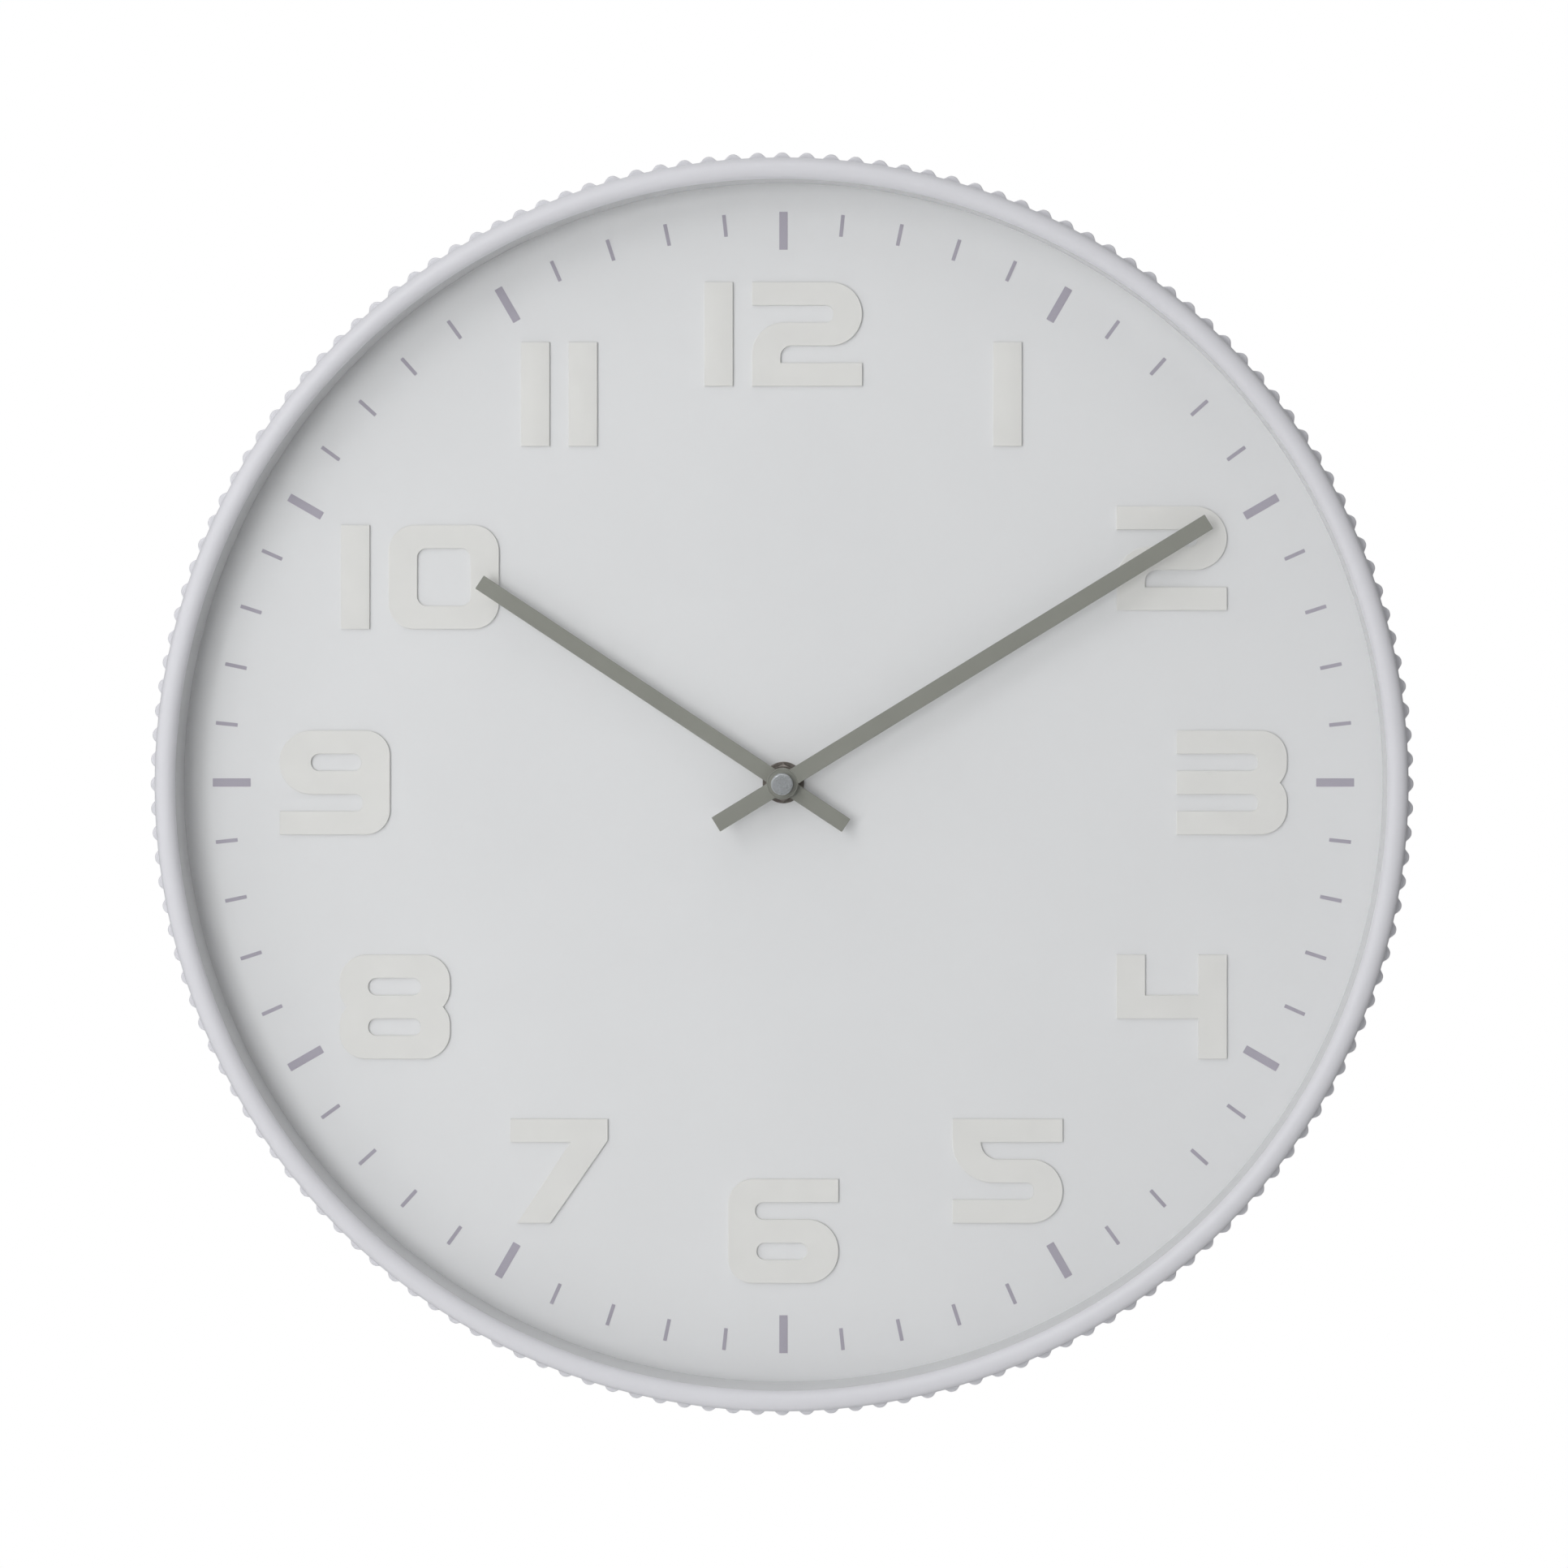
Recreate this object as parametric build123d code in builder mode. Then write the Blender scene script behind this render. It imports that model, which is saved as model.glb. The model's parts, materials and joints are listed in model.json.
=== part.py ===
"""Quartz wall clock: a round case with a ribbed rim, raised numerals, two straight hands, a boxed movement.

The wall is the plane Y = 0 and the clock faces -Y. The origin is where the wall screw's shank rests in the
keyhole hanger. "Height" below is measured from the dial's front face towards the viewer, in millimetres, and
x and y are to the right and up from the arbor axis, as seen from the front.
"""

from build123d import *
import math
import os

os.makedirs("parts", exist_ok=True)

# Driving dimensions, in millimetres -------------------------------------------------------------------------
RIM_RADIUS = 200.0
CASE_DEPTH = 40.0
HANGER_ABOVE_ARBOR = 150.0

# rim
RIB_COUNT = 160
RIB_VALLEY_RADIUS = 198.1
RIB_CREST_SHARE = 0.6
RIB_SHOULDER_SHARE = 0.45
RIB_FRONT = 11.0
RIM_REAR = -16.0
ROLL_RADIUS = 197.7
ROLL_ARC = 3.7
ROLL_CROWN = 18.6
LIP_ARC = 3.2
SEAT_RADIUS = 193.9

# glass, spacer, dial
INSERT_RADIUS = 193.6
GLASS_FRONT = 16.4
GLASS_THICKNESS = 2.0
SPACER_INNER_RADIUS = 191.4
DIAL_THICKNESS = 2.0

# minute track and numerals
TRACK_RADIUS = 182.3
HOUR_MARK = (2.65, 12.1)
MINUTE_MARK = (1.17, 7.0)
INK = 0.1
NUMERAL_RADIUS = 143.2
NUMERAL_THICKNESS = 1.0
NUMERAL_HEIGHT = 33.2
NUMERAL_WIDTH = 35.2
STEM = 9.1
BAR = 7.4
SLOT = (NUMERAL_HEIGHT - 3 * BAR) / 2
SLOT_END = 25.9
SLOT_CORNER = 2.3
NEAR_ROUND = 0.98
DIGIT_GAP = 6.1
SEVEN_WIDTH = 31.1
TEN_CENTRE = (-116.0, 65.6)

# hands, each turned clockwise from twelve
HAND_THICKNESS = 0.5
HOUR_HAND = {"length": 115.6, "tail": 24.2, "width": 4.95, "base": 6.5, "turned": 303.6}
MINUTE_HAND = {"length": 158.7, "tail": 24.7, "width": 5.25, "base": 9.5, "turned": 58.42}
HAND_BOSS_RADIUS = 4.95

# hub: cap nut over the hands, then the nut and washers that fix the movement to the dial
CAP_RADIUS = 3.45
CAP_HEIGHT = 3.8
CAP_ROOF = 1.2
CAP_ROUNDING = 0.7
COLLET_DEPTH = 1.2
BUSHING_TOP = 3.4
BUSHING_FLANGE_RADIUS = 5.5
BUSHING_FLANGE_THICKNESS = 0.9
WASHER_RADIUS = 6.65
WASHER_THICKNESS = 0.6
NUT_HEIGHT = 2.2
NUT_CORNER_RADIUS = 6.06
NUT_BEVEL = (0.8, 0.6)
RUBBER_WASHER_RADIUS = 14.0
LOOSE_FIT = 0.1

# movement box
MOVEMENT_SIDE = 56.0
MOVEMENT_FRONT = -3.0
MOVEMENT_REAR = -19.0
MOVEMENT_WALL = 1.2
MOVEMENT_FACE = 1.4
BAY_TOP = -11.8
BATTERY_RADIUS = 7.25
BATTERY_LENGTH = 50.5
BATTERY_NUB = (2.75, 1.3)
BATTERY_TIP_X = 26.0
CONTACT_STRIP = 0.4

# shafts and fits
FIT = 0.05
PIVOT_RADIUS = 0.5
THREAD_RADIUS = 4.0
HOUR_TUBE_RADIUS = 2.55
MINUTE_SHAFT_RADIUS = 1.72
MINUTE_TIP_RADIUS = 1.4
SECONDS_PIN_RADIUS = 0.45
MOTION_POST_RADIUS = 0.8
KNOB_RADIUS = 5.0
KNOB_NECK_RADIUS = 2.0
KNOB_REAR = -20.2
KNOB_GROOVES = 18

# gears: teeth of the wheel and of the pinion that drives it or is driven by it
PRESSURE_ANGLE = math.radians(25)
WHEEL_ADDENDUM = 0.7
PINION_ADDENDUM = 0.9
ROOT_CLEARANCE = 0.3
BACKLASH = 0.07
THIRD_DISTANCE = 10.88
MOTION_DISTANCE = 9.6
STEP_DISTANCE = 10.6
ROTOR_DISTANCE = 7.0
KNOB_DISTANCE = 10.8
CENTRE_TEETH, THIRD_PINION_TEETH = 60, 8
THIRD_TEETH, SECONDS_PINION_TEETH = 64, 8
SECONDS_TEETH, STEP_PINION_TEETH = 50, 10
STEP_TEETH, ROTOR_PINION_TEETH = 48, 8
CANNON_TEETH, MOTION_TEETH = 12, 36
MOTION_PINION_TEETH, HOUR_TEETH = 10, 40
KNOB_TEETH = 18
LIGHTENING_HOLES = 5
CENTRE_HUB_RADIUS = 3.0
KNOB_GROOVE = (0.3, 0.55)

# lightening holes in each wheel: radius of their circle, radius of a hole
STEP_LIGHTENING = (3.6, 1.0)
SECONDS_LIGHTENING = (5.2, 1.5)
THIRD_LIGHTENING = (5.4, 1.6)
CENTRE_LIGHTENING = (6.0, 1.7)
PIVOT_ENGAGEMENT = 0.7

# heights of the toothed layers, the magnet and the hub of the centre wheel: rear face, front face
ROTOR_PINION_LEVEL = (-16.9, -15.5)
MAGNET_LEVEL = (-10.9, -8.3)
STEP_WHEEL_LEVEL = (-16.7, -15.7)
STEP_PINION_LEVEL = (-15.7, -13.5)
SECONDS_WHEEL_LEVEL = (-14.9, -13.7)
SECONDS_PINION_LEVEL = (-13.7, -11.3)
THIRD_WHEEL_LEVEL = (-12.7, -11.5)
THIRD_PINION_LEVEL = (-11.5, -9.1)
CENTRE_WHEEL_LEVEL = (-10.5, -9.3)
CENTRE_HUB_LEVEL = (-10.7, -9.1)
CANNON_LEVEL = (-8.5, -6.9)
MOTION_WHEEL_LEVEL = (-8.3, -7.1)
MOTION_PINION_LEVEL = (-7.1, -4.8)
HOUR_WHEEL_LEVEL = (-6.2, -5.0)
ARBOR_REAR = -11.0
SECONDS_PIN_FRONT = -7.4

# motor, coil and electronics
STATOR_LEVEL = (-10.1, -9.1)
STATOR_ARM = 4.0
STATOR_EYE = (5.0, 2.9)
STATOR_LEG_X = (-17.0, 3.0)
MAGNET_RADIUS = 2.5
COIL_LINE_Y = 22.5
CORE_THICKNESS = 1.0
CORE_HALF_WIDTH = 2.0
BOBBIN_HALF = 7.8
BOBBIN_TUBE = (2.6, 1.1)
FLANGE = 0.8
FLANGE_HALF = 3.2
WINDING_HALF = 3.0
POST_RADIUS = 0.9
BOARD_EDGES = (6.0, 19.5, 26.0, 25.8)
BOARD_POSTS = [(11.0, 22.6), (23.5, 22.6)]
CHIP_CENTRE = (17.3, 22.6)
CHIP_RADIUS = 2.4
CRYSTAL_RADIUS = 1.0
CRYSTAL_LENGTH = 6.2
CRYSTAL_LEFT = 14.0
CRYSTAL_Y = 21.2
CONTACT_NOTCH = (-10.3, -7.7)
CONTACT_LEVEL = (-16.0, -7.0)
STRIP_LEVEL = (-10.0, -8.0)
LEAF_LEVEL = (-14.0, -9.0)
LEAF_TOP = 26.3
LEAF_RIGHT = 8.0
LEAF_LAND = 0.5
STRIP_TOP = 20.5
CONTACT_HALF = 5.0

# back
COVER_RADIUS = 197.9
COVER_THICKNESS = 2.0
CASE_SCREW_COUNT = 8
CASE_SCREW_CIRCLE = 195.9
CASE_SCREW_RADIUS = 1.2
KEYHOLE_SLOT_RADIUS = 2.6
KEYHOLE_EYE_RADIUS = 5.0
KEYHOLE_TRAVEL = 11.0
HANGER_PLATE = (30.0, 36.0)
HANGER_PLATE_THICKNESS = 1.0
BUMPER_CIRCLE = 176.0
BUMPER_RADIUS = 7.0
BUMPER_ANGLES = (45, 135, 225, 315)
CASE_SCREW_START = 22.5
CASE_SCREW_HEAD = (2.0, 1.3)
CASE_SCREW_LENGTH = 9.0
PILOT_DEPTH = CASE_SCREW_LENGTH - COVER_THICKNESS + 1.0
HANGER_SCREW_RADIUS = 1.25
HANGER_SCREW_HEAD = (2.4, 1.4)
HANGER_SCREW_LENGTH = 5.0
HANGER_SCREW_SPREAD = 11.0
HANGER_DROP = 7.0
CAVITY = (14.0, 26.0)
SUPPORT_RING = (188.0, 190.5)
STIFFENER_HEIGHT = 6.0
STIFFENER_WIDTH = 1.6
STIFFENER_COUNT = 8
CENTRE_WALL = (48.5, 46.5)
WINDOW_GAP = 0.6
EDGE_BREAK = 0.6

# Derived places ---------------------------------------------------------------------------------------------
WALL = ROLL_CROWN - CASE_DEPTH
COVER_REAR = RIM_REAR - COVER_THICKNESS
GLASS_REAR = GLASS_FRONT - GLASS_THICKNESS
CHAMBER_FRONT = MOVEMENT_FRONT - MOVEMENT_FACE
LID_FRONT = MOVEMENT_REAR + MOVEMENT_WALL
CHAMBER_HALF = MOVEMENT_SIDE / 2 - MOVEMENT_WALL
BATTERY_LEVEL = CHAMBER_FRONT - BATTERY_RADIUS - LOOSE_FIT
BATTERY_Y = (BAY_TOP - CHAMBER_HALF) / 2
BATTERY_TAIL_X = BATTERY_TIP_X - BATTERY_LENGTH
CORE_LEVEL = (STATOR_LEVEL[0] - CORE_THICKNESS, STATOR_LEVEL[0])
HANGER_MIDDLE = (0, HANGER_ABOVE_ARBOR - HANGER_DROP)
ARBOR_AXIS = Axis((0, 0, -HANGER_ABOVE_ARBOR), (0, -1, 0))

# Levels of the numerals' three bars and two slots, from the foot up
LOW_BAR_TOP = BAR
MID_BAR_FOOT = BAR + SLOT
MID_BAR_TOP = 2 * BAR + SLOT
TOP_BAR_FOOT = 2 * (BAR + SLOT)


def at(height):
    """The plane parallel to the dial at this height, with x to the right and y up as seen from the front."""
    return Plane(
        origin=(0, WALL - height, -HANGER_ABOVE_ARBOR), x_dir=(1, 0, 0), z_dir=(0, -1, 0)
    )


def section():
    """The half section through the arbor axis: x is the radius and y the height."""
    return Plane(origin=(0, WALL, -HANGER_ABOVE_ARBOR), x_dir=(1, 0, 0), z_dir=(0, 0, -1))


def keep(piece, label):
    """Label a finished piece and write it."""
    piece.part.label = label
    export_step(piece.part, f"parts/{label}.step")


def polar(radius, degrees):
    """A point at this radius and angle, counter-clockwise from the right."""
    turn = math.radians(degrees)
    return (radius * math.cos(turn), radius * math.sin(turn))


def clockwise(radius, degrees):
    """A point at this radius, turned clockwise from twelve."""
    return polar(radius, 90 - degrees)


def add_points(a, b):
    """The sum of two plane points."""
    return (a[0] + b[0], a[1] + b[1])


def disc(label, outer, inner, low, high):
    """A flat ring or disc between two heights."""
    with BuildPart() as ring:
        with BuildSketch(at(low)):
            Circle(outer)
            if inner:
                Circle(inner, mode=Mode.SUBTRACT)
        extrude(amount=high - low)
    keep(ring, label)


# Rim --------------------------------------------------------------------------------------------------------
with BuildPart() as bezel:
    pitch = 360 / RIB_COUNT
    crest = pitch * RIB_CREST_SHARE / 2
    shoulder = RIB_VALLEY_RADIUS + (RIM_RADIUS - RIB_VALLEY_RADIUS) * RIB_SHOULDER_SHARE
    with BuildSketch(at(RIM_REAR)):
        with BuildLine():
            for rib in range(RIB_COUNT):
                middle = rib * pitch
                ThreePointArc(
                    polar(shoulder, middle - crest),
                    polar(RIM_RADIUS, middle),
                    polar(shoulder, middle + crest),
                )
                ThreePointArc(
                    polar(shoulder, middle + crest),
                    polar(RIB_VALLEY_RADIUS, middle + pitch / 2),
                    polar(shoulder, middle + pitch - crest),
                )
        make_face()
        Circle(SEAT_RADIUS, mode=Mode.SUBTRACT)
    extrude(amount=RIB_FRONT - RIM_REAR)
    # the ribs' front ends are bevelled down to the valleys
    with BuildSketch(section()):
        with BuildLine():
            Polyline(
                (RIB_VALLEY_RADIUS, RIB_FRONT),
                (RIM_RADIUS + 1, RIB_FRONT),
                (RIM_RADIUS + 1, RIB_FRONT - (RIM_RADIUS + 1 - RIB_VALLEY_RADIUS)),
                close=True,
            )
        make_face()
    revolve(axis=ARBOR_AXIS, mode=Mode.SUBTRACT)
    # the smooth front roll and the lip that holds the glass
    with BuildSketch(section()):
        with BuildLine():
            crown_radius = ROLL_RADIUS - ROLL_ARC
            roll = CenterArc((crown_radius, ROLL_CROWN - ROLL_ARC), ROLL_ARC, 0, 90)
            # the lip's curve ends where it meets the glass
            lip_middle = ROLL_CROWN - LIP_ARC
            lip_end = math.degrees(math.asin((GLASS_FRONT - lip_middle) / LIP_ARC))
            lip = CenterArc((crown_radius, lip_middle), LIP_ARC, 90, 90 - lip_end)
            Polyline(
                lip @ 1,
                (SEAT_RADIUS, GLASS_FRONT),
                (SEAT_RADIUS, RIB_FRONT),
                (ROLL_RADIUS, RIB_FRONT),
                roll @ 0,
            )
        make_face()
    revolve(axis=ARBOR_AXIS)
    # pilot holes for the case screws
    with BuildSketch(at(RIM_REAR)):
        with PolarLocations(CASE_SCREW_CIRCLE, CASE_SCREW_COUNT, start_angle=CASE_SCREW_START):
            Circle(CASE_SCREW_RADIUS)
    extrude(amount=PILOT_DEPTH, mode=Mode.SUBTRACT)
keep(bezel, "bezel")

disc("glass", INSERT_RADIUS, 0, GLASS_REAR, GLASS_FRONT)
disc("spacer_ring", INSERT_RADIUS, SPACER_INNER_RADIUS, 0, GLASS_REAR)
disc("dial", INSERT_RADIUS, THREAD_RADIUS + LOOSE_FIT, -DIAL_THICKNESS, 0)


# Minute track -----------------------------------------------------------------------------------------------
def track_marks(label, mark, positions):
    """Printed marks that end on the track radius, one at each of these sixtieths."""
    width, length = mark
    with BuildPart() as marks:
        with BuildSketch(at(0)):
            for position in positions:
                middle = clockwise(TRACK_RADIUS - length / 2, position * 6)
                with Locations(Location((*middle, 0), (0, 0, -position * 6))):
                    Rectangle(width, length)
        extrude(amount=INK)
    keep(marks, label)


track_marks("hour_marks", HOUR_MARK, range(0, 60, 5))
track_marks("minute_marks", MINUTE_MARK, [position for position in range(60) if position % 5])


# Numerals ---------------------------------------------------------------------------------------------------
def box_between(left, foot, right, top, corner=0.0, mode=Mode.ADD):
    """A rectangle given by its edges, with rounded corners if asked for."""
    with Locations(((left + right) / 2, (foot + top) / 2)):
        if corner:
            RectangleRounded(right - left, top - foot, corner, mode=mode)
        else:
            Rectangle(right - left, top - foot, mode=mode)


def counter(foot, right=SLOT_END):
    """A closed hole one slot high, with rounded ends."""
    box_between(STEM, foot, right, foot + SLOT, SLOT / 2 * NEAR_ROUND, Mode.SUBTRACT)


def open_slot(foot, left, right, corner=SLOT_CORNER):
    """A slot one slot high whose corners are rounded; one end lies outside the digit."""
    box_between(left, foot, right, foot + SLOT, corner, Mode.SUBTRACT)


def two_lobes():
    """The double outline of the eight and of the right side of the three."""
    lobe_height = 19.2
    lobe_corner = 8.3
    box_between(0, 0, NUMERAL_WIDTH, lobe_height, lobe_corner)
    box_between(0, NUMERAL_HEIGHT - lobe_height, NUMERAL_WIDTH, NUMERAL_HEIGHT, lobe_corner)


def bar_digit():
    with BuildSketch() as digit:
        box_between(0, 0, STEM, NUMERAL_HEIGHT)
    return digit.sketch


def zero_digit():
    outer_arc = 8.2
    inner_arc = 3.1
    with BuildSketch() as digit:
        box_between(0, 0, NUMERAL_WIDTH, NUMERAL_HEIGHT, outer_arc)
        box_between(STEM, BAR, NUMERAL_WIDTH - STEM, NUMERAL_HEIGHT - BAR, inner_arc, Mode.SUBTRACT)
    return digit.sketch


def two_digit():
    """A round upper bowl, a swept lower left shoulder and a straight foot."""
    bowl = (NUMERAL_HEIGHT - MID_BAR_FOOT) / 2
    shoulder_arc = 10.2
    notch_arc = 3.6
    with BuildSketch() as digit:
        with BuildLine():
            Line((0, NUMERAL_HEIGHT), (NUMERAL_WIDTH - bowl, NUMERAL_HEIGHT))
            ThreePointArc(
                (NUMERAL_WIDTH - bowl, NUMERAL_HEIGHT),
                (NUMERAL_WIDTH, NUMERAL_HEIGHT - bowl),
                (NUMERAL_WIDTH - bowl, MID_BAR_FOOT),
            )
            Line((NUMERAL_WIDTH - bowl, MID_BAR_FOOT), (STEM + notch_arc, MID_BAR_FOOT))
            RadiusArc((STEM + notch_arc, MID_BAR_FOOT), (STEM, MID_BAR_FOOT - notch_arc), -notch_arc)
            Polyline(
                (STEM, MID_BAR_FOOT - notch_arc),
                (STEM, LOW_BAR_TOP),
                (NUMERAL_WIDTH, LOW_BAR_TOP),
                (NUMERAL_WIDTH, 0),
                (0, 0),
                (0, MID_BAR_TOP - shoulder_arc),
            )
            RadiusArc((0, MID_BAR_TOP - shoulder_arc), (shoulder_arc, MID_BAR_TOP), shoulder_arc)
            Polyline(
                (shoulder_arc, MID_BAR_TOP),
                (shoulder_arc, TOP_BAR_FOOT),
                (0, TOP_BAR_FOOT),
                (0, NUMERAL_HEIGHT),
            )
        make_face()
        open_slot(MID_BAR_TOP, shoulder_arc - 2 * SLOT_CORNER, SLOT_END)
    return digit.sketch


def three_digit():
    """Two lobes on the right, with the left side left square and open."""
    with BuildSketch() as digit:
        two_lobes()
        box_between(0, 0, NUMERAL_WIDTH / 2, NUMERAL_HEIGHT)
        open_slot(LOW_BAR_TOP, -STEM, SLOT_END)
        open_slot(MID_BAR_TOP, -STEM, SLOT_END)
    return digit.sketch


def four_digit():
    with BuildSketch() as digit:
        box_between(0, MID_BAR_FOOT, STEM, NUMERAL_HEIGHT)
        box_between(0, MID_BAR_FOOT, NUMERAL_WIDTH, MID_BAR_TOP)
        box_between(NUMERAL_WIDTH - STEM, 0, NUMERAL_WIDTH, NUMERAL_HEIGHT)
    return digit.sketch


def five_digit():
    """A straight head, a swept left shoulder and a round lower bowl."""
    bowl = MID_BAR_TOP / 2
    shoulder_arc = TOP_BAR_FOOT - MID_BAR_FOOT
    with BuildSketch() as digit:
        with BuildLine():
            Line((0, 0), (NUMERAL_WIDTH - bowl, 0))
            ThreePointArc(
                (NUMERAL_WIDTH - bowl, 0), (NUMERAL_WIDTH, bowl), (NUMERAL_WIDTH - bowl, MID_BAR_TOP)
            )
            Line((NUMERAL_WIDTH - bowl, MID_BAR_TOP), (STEM + SLOT, MID_BAR_TOP))
            RadiusArc((STEM + SLOT, MID_BAR_TOP), (STEM, TOP_BAR_FOOT), SLOT)
            Polyline(
                (STEM, TOP_BAR_FOOT),
                (NUMERAL_WIDTH, TOP_BAR_FOOT),
                (NUMERAL_WIDTH, NUMERAL_HEIGHT),
                (0, NUMERAL_HEIGHT),
                (0, TOP_BAR_FOOT),
            )
            RadiusArc((0, TOP_BAR_FOOT), (shoulder_arc, MID_BAR_FOOT), -shoulder_arc)
            Polyline(
                (shoulder_arc, MID_BAR_FOOT), (shoulder_arc, LOW_BAR_TOP), (0, LOW_BAR_TOP), (0, 0)
            )
        make_face()
        open_slot(LOW_BAR_TOP, shoulder_arc - 2 * SLOT_CORNER, SLOT_END)
    return digit.sketch


def six_digit():
    """A square-shouldered back, an open slot at the upper right and a closed lower bowl."""
    bowl = MID_BAR_TOP / 2
    back_arc = 7.8
    counter_end = 25.2
    overlap = 0.5
    with BuildSketch() as digit:
        box_between(0, 0, NUMERAL_WIDTH - bowl, NUMERAL_HEIGHT, back_arc)
        box_between(back_arc, TOP_BAR_FOOT, NUMERAL_WIDTH, NUMERAL_HEIGHT)
        box_between(NUMERAL_WIDTH - 2 * bowl, 0, NUMERAL_WIDTH, MID_BAR_TOP, bowl * NEAR_ROUND)
        box_between(back_arc, 0, NUMERAL_WIDTH - bowl, MID_BAR_TOP)
        open_slot(MID_BAR_TOP, STEM - overlap, NUMERAL_WIDTH + STEM, SLOT / 2 * NEAR_ROUND)
        counter(LOW_BAR_TOP, counter_end)
    return digit.sketch


def seven_digit():
    heel = 6.9
    foot_left = 2.2
    foot_right = 12.8
    knee = 19.2
    with BuildSketch() as digit:
        with BuildLine():
            Polyline(
                (0, NUMERAL_HEIGHT),
                (SEVEN_WIDTH, NUMERAL_HEIGHT),
                (SEVEN_WIDTH, NUMERAL_HEIGHT - heel),
                (foot_right, 0),
                (foot_left, 0),
                (knee, TOP_BAR_FOOT),
                (0, TOP_BAR_FOOT),
                close=True,
            )
        make_face()
    return digit.sketch


def eight_digit():
    with BuildSketch() as digit:
        two_lobes()
        counter(LOW_BAR_TOP)
        counter(MID_BAR_TOP)
    return digit.sketch


def digit_sketch(draw, left, middle, flipped=False):
    """One digit whose left edge is at this x and whose middle is at this y; flipped turns it half a turn."""
    shape = draw()
    if flipped:
        shape = Pos(NUMERAL_WIDTH, NUMERAL_HEIGHT) * Rot(0, 0, 180) * shape
    return Pos(left, middle - NUMERAL_HEIGHT / 2) * shape


def numeral(hour, digits, centre=None):
    """A raised numeral: each digit is its function, its width and whether it is turned over."""
    x, y = centre or clockwise(NUMERAL_RADIUS, 30 * hour)
    left = x - (sum(width for _, width, _ in digits) + DIGIT_GAP * (len(digits) - 1)) / 2
    shapes = []
    for draw, width, flipped in digits:
        shapes.append(digit_sketch(draw, left, y, flipped))
        left += width + DIGIT_GAP
    with BuildPart() as raised:
        with BuildSketch(at(0)):
            add(shapes)
        extrude(amount=NUMERAL_THICKNESS)
    keep(raised, f"numeral_{hour}")


ONE = (bar_digit, STEM, False)
numeral(1, [ONE])
numeral(2, [(two_digit, NUMERAL_WIDTH, False)])
numeral(3, [(three_digit, NUMERAL_WIDTH, False)])
numeral(4, [(four_digit, NUMERAL_WIDTH, False)])
numeral(5, [(five_digit, NUMERAL_WIDTH, False)])
numeral(6, [(six_digit, NUMERAL_WIDTH, False)])
numeral(7, [(seven_digit, SEVEN_WIDTH, False)])
numeral(8, [(eight_digit, NUMERAL_WIDTH, False)])
numeral(9, [(six_digit, NUMERAL_WIDTH, True)])
numeral(10, [ONE, (zero_digit, NUMERAL_WIDTH, False)], TEN_CENTRE)
numeral(11, [ONE, ONE])
numeral(12, [ONE, (two_digit, NUMERAL_WIDTH, False)])


# Hands ------------------------------------------------------------------------------------------------------
def hand(label, size, hole_radius, collet_depth=0.0):
    """A straight flat hand with a square tail and a round boss; a collet under the boss grips its tube."""
    middle = clockwise((size["length"] - size["tail"]) / 2, size["turned"])
    with BuildPart() as piece:
        with BuildSketch(at(size["base"])):
            with Locations(Location((*middle, 0), (0, 0, -size["turned"]))):
                Rectangle(size["width"], size["length"] + size["tail"])
            Circle(HAND_BOSS_RADIUS)
        extrude(amount=HAND_THICKNESS)
        if collet_depth:
            with BuildSketch(at(size["base"] - collet_depth)):
                Circle(HAND_BOSS_RADIUS - 1)
            extrude(amount=collet_depth)
        with BuildSketch(at(size["base"] - collet_depth)):
            Circle(hole_radius)
        extrude(amount=collet_depth + HAND_THICKNESS, mode=Mode.SUBTRACT)
    keep(piece, label)


hand("hour_hand", HOUR_HAND, HOUR_TUBE_RADIUS, COLLET_DEPTH)
hand("minute_hand", MINUTE_HAND, MINUTE_TIP_RADIUS)

CAP_BASE = MINUTE_HAND["base"] + HAND_THICKNESS
with BuildPart() as cap_nut:
    with BuildSketch(at(CAP_BASE)):
        Circle(CAP_RADIUS)
    extrude(amount=CAP_HEIGHT)
    fillet(cap_nut.edges().sort_by(Axis.Y)[0], CAP_ROUNDING)
    with BuildSketch(at(CAP_BASE)):
        Circle(MINUTE_TIP_RADIUS)
    extrude(amount=CAP_HEIGHT - CAP_ROOF, mode=Mode.SUBTRACT)
keep(cap_nut, "cap_nut")

# Fixing of the movement through the dial --------------------------------------------------------------------
with BuildPart() as threaded_bushing:
    with BuildSketch(section()):
        with BuildLine():
            Polyline(
                (HOUR_TUBE_RADIUS + FIT, CHAMBER_FRONT),
                (THREAD_RADIUS, CHAMBER_FRONT),
                (THREAD_RADIUS, MOVEMENT_FRONT),
                (BUSHING_FLANGE_RADIUS, MOVEMENT_FRONT),
                (BUSHING_FLANGE_RADIUS, MOVEMENT_FRONT + BUSHING_FLANGE_THICKNESS),
                (THREAD_RADIUS, MOVEMENT_FRONT + BUSHING_FLANGE_THICKNESS),
                (THREAD_RADIUS, BUSHING_TOP),
                (HOUR_TUBE_RADIUS + FIT, BUSHING_TOP),
                close=True,
            )
        make_face()
    revolve(axis=ARBOR_AXIS)
keep(threaded_bushing, "threaded_bushing")

disc("rubber_washer", RUBBER_WASHER_RADIUS, BUSHING_FLANGE_RADIUS + 0.3, MOVEMENT_FRONT, -DIAL_THICKNESS)
disc("brass_washer", WASHER_RADIUS, THREAD_RADIUS + LOOSE_FIT, 0, WASHER_THICKNESS)

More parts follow.
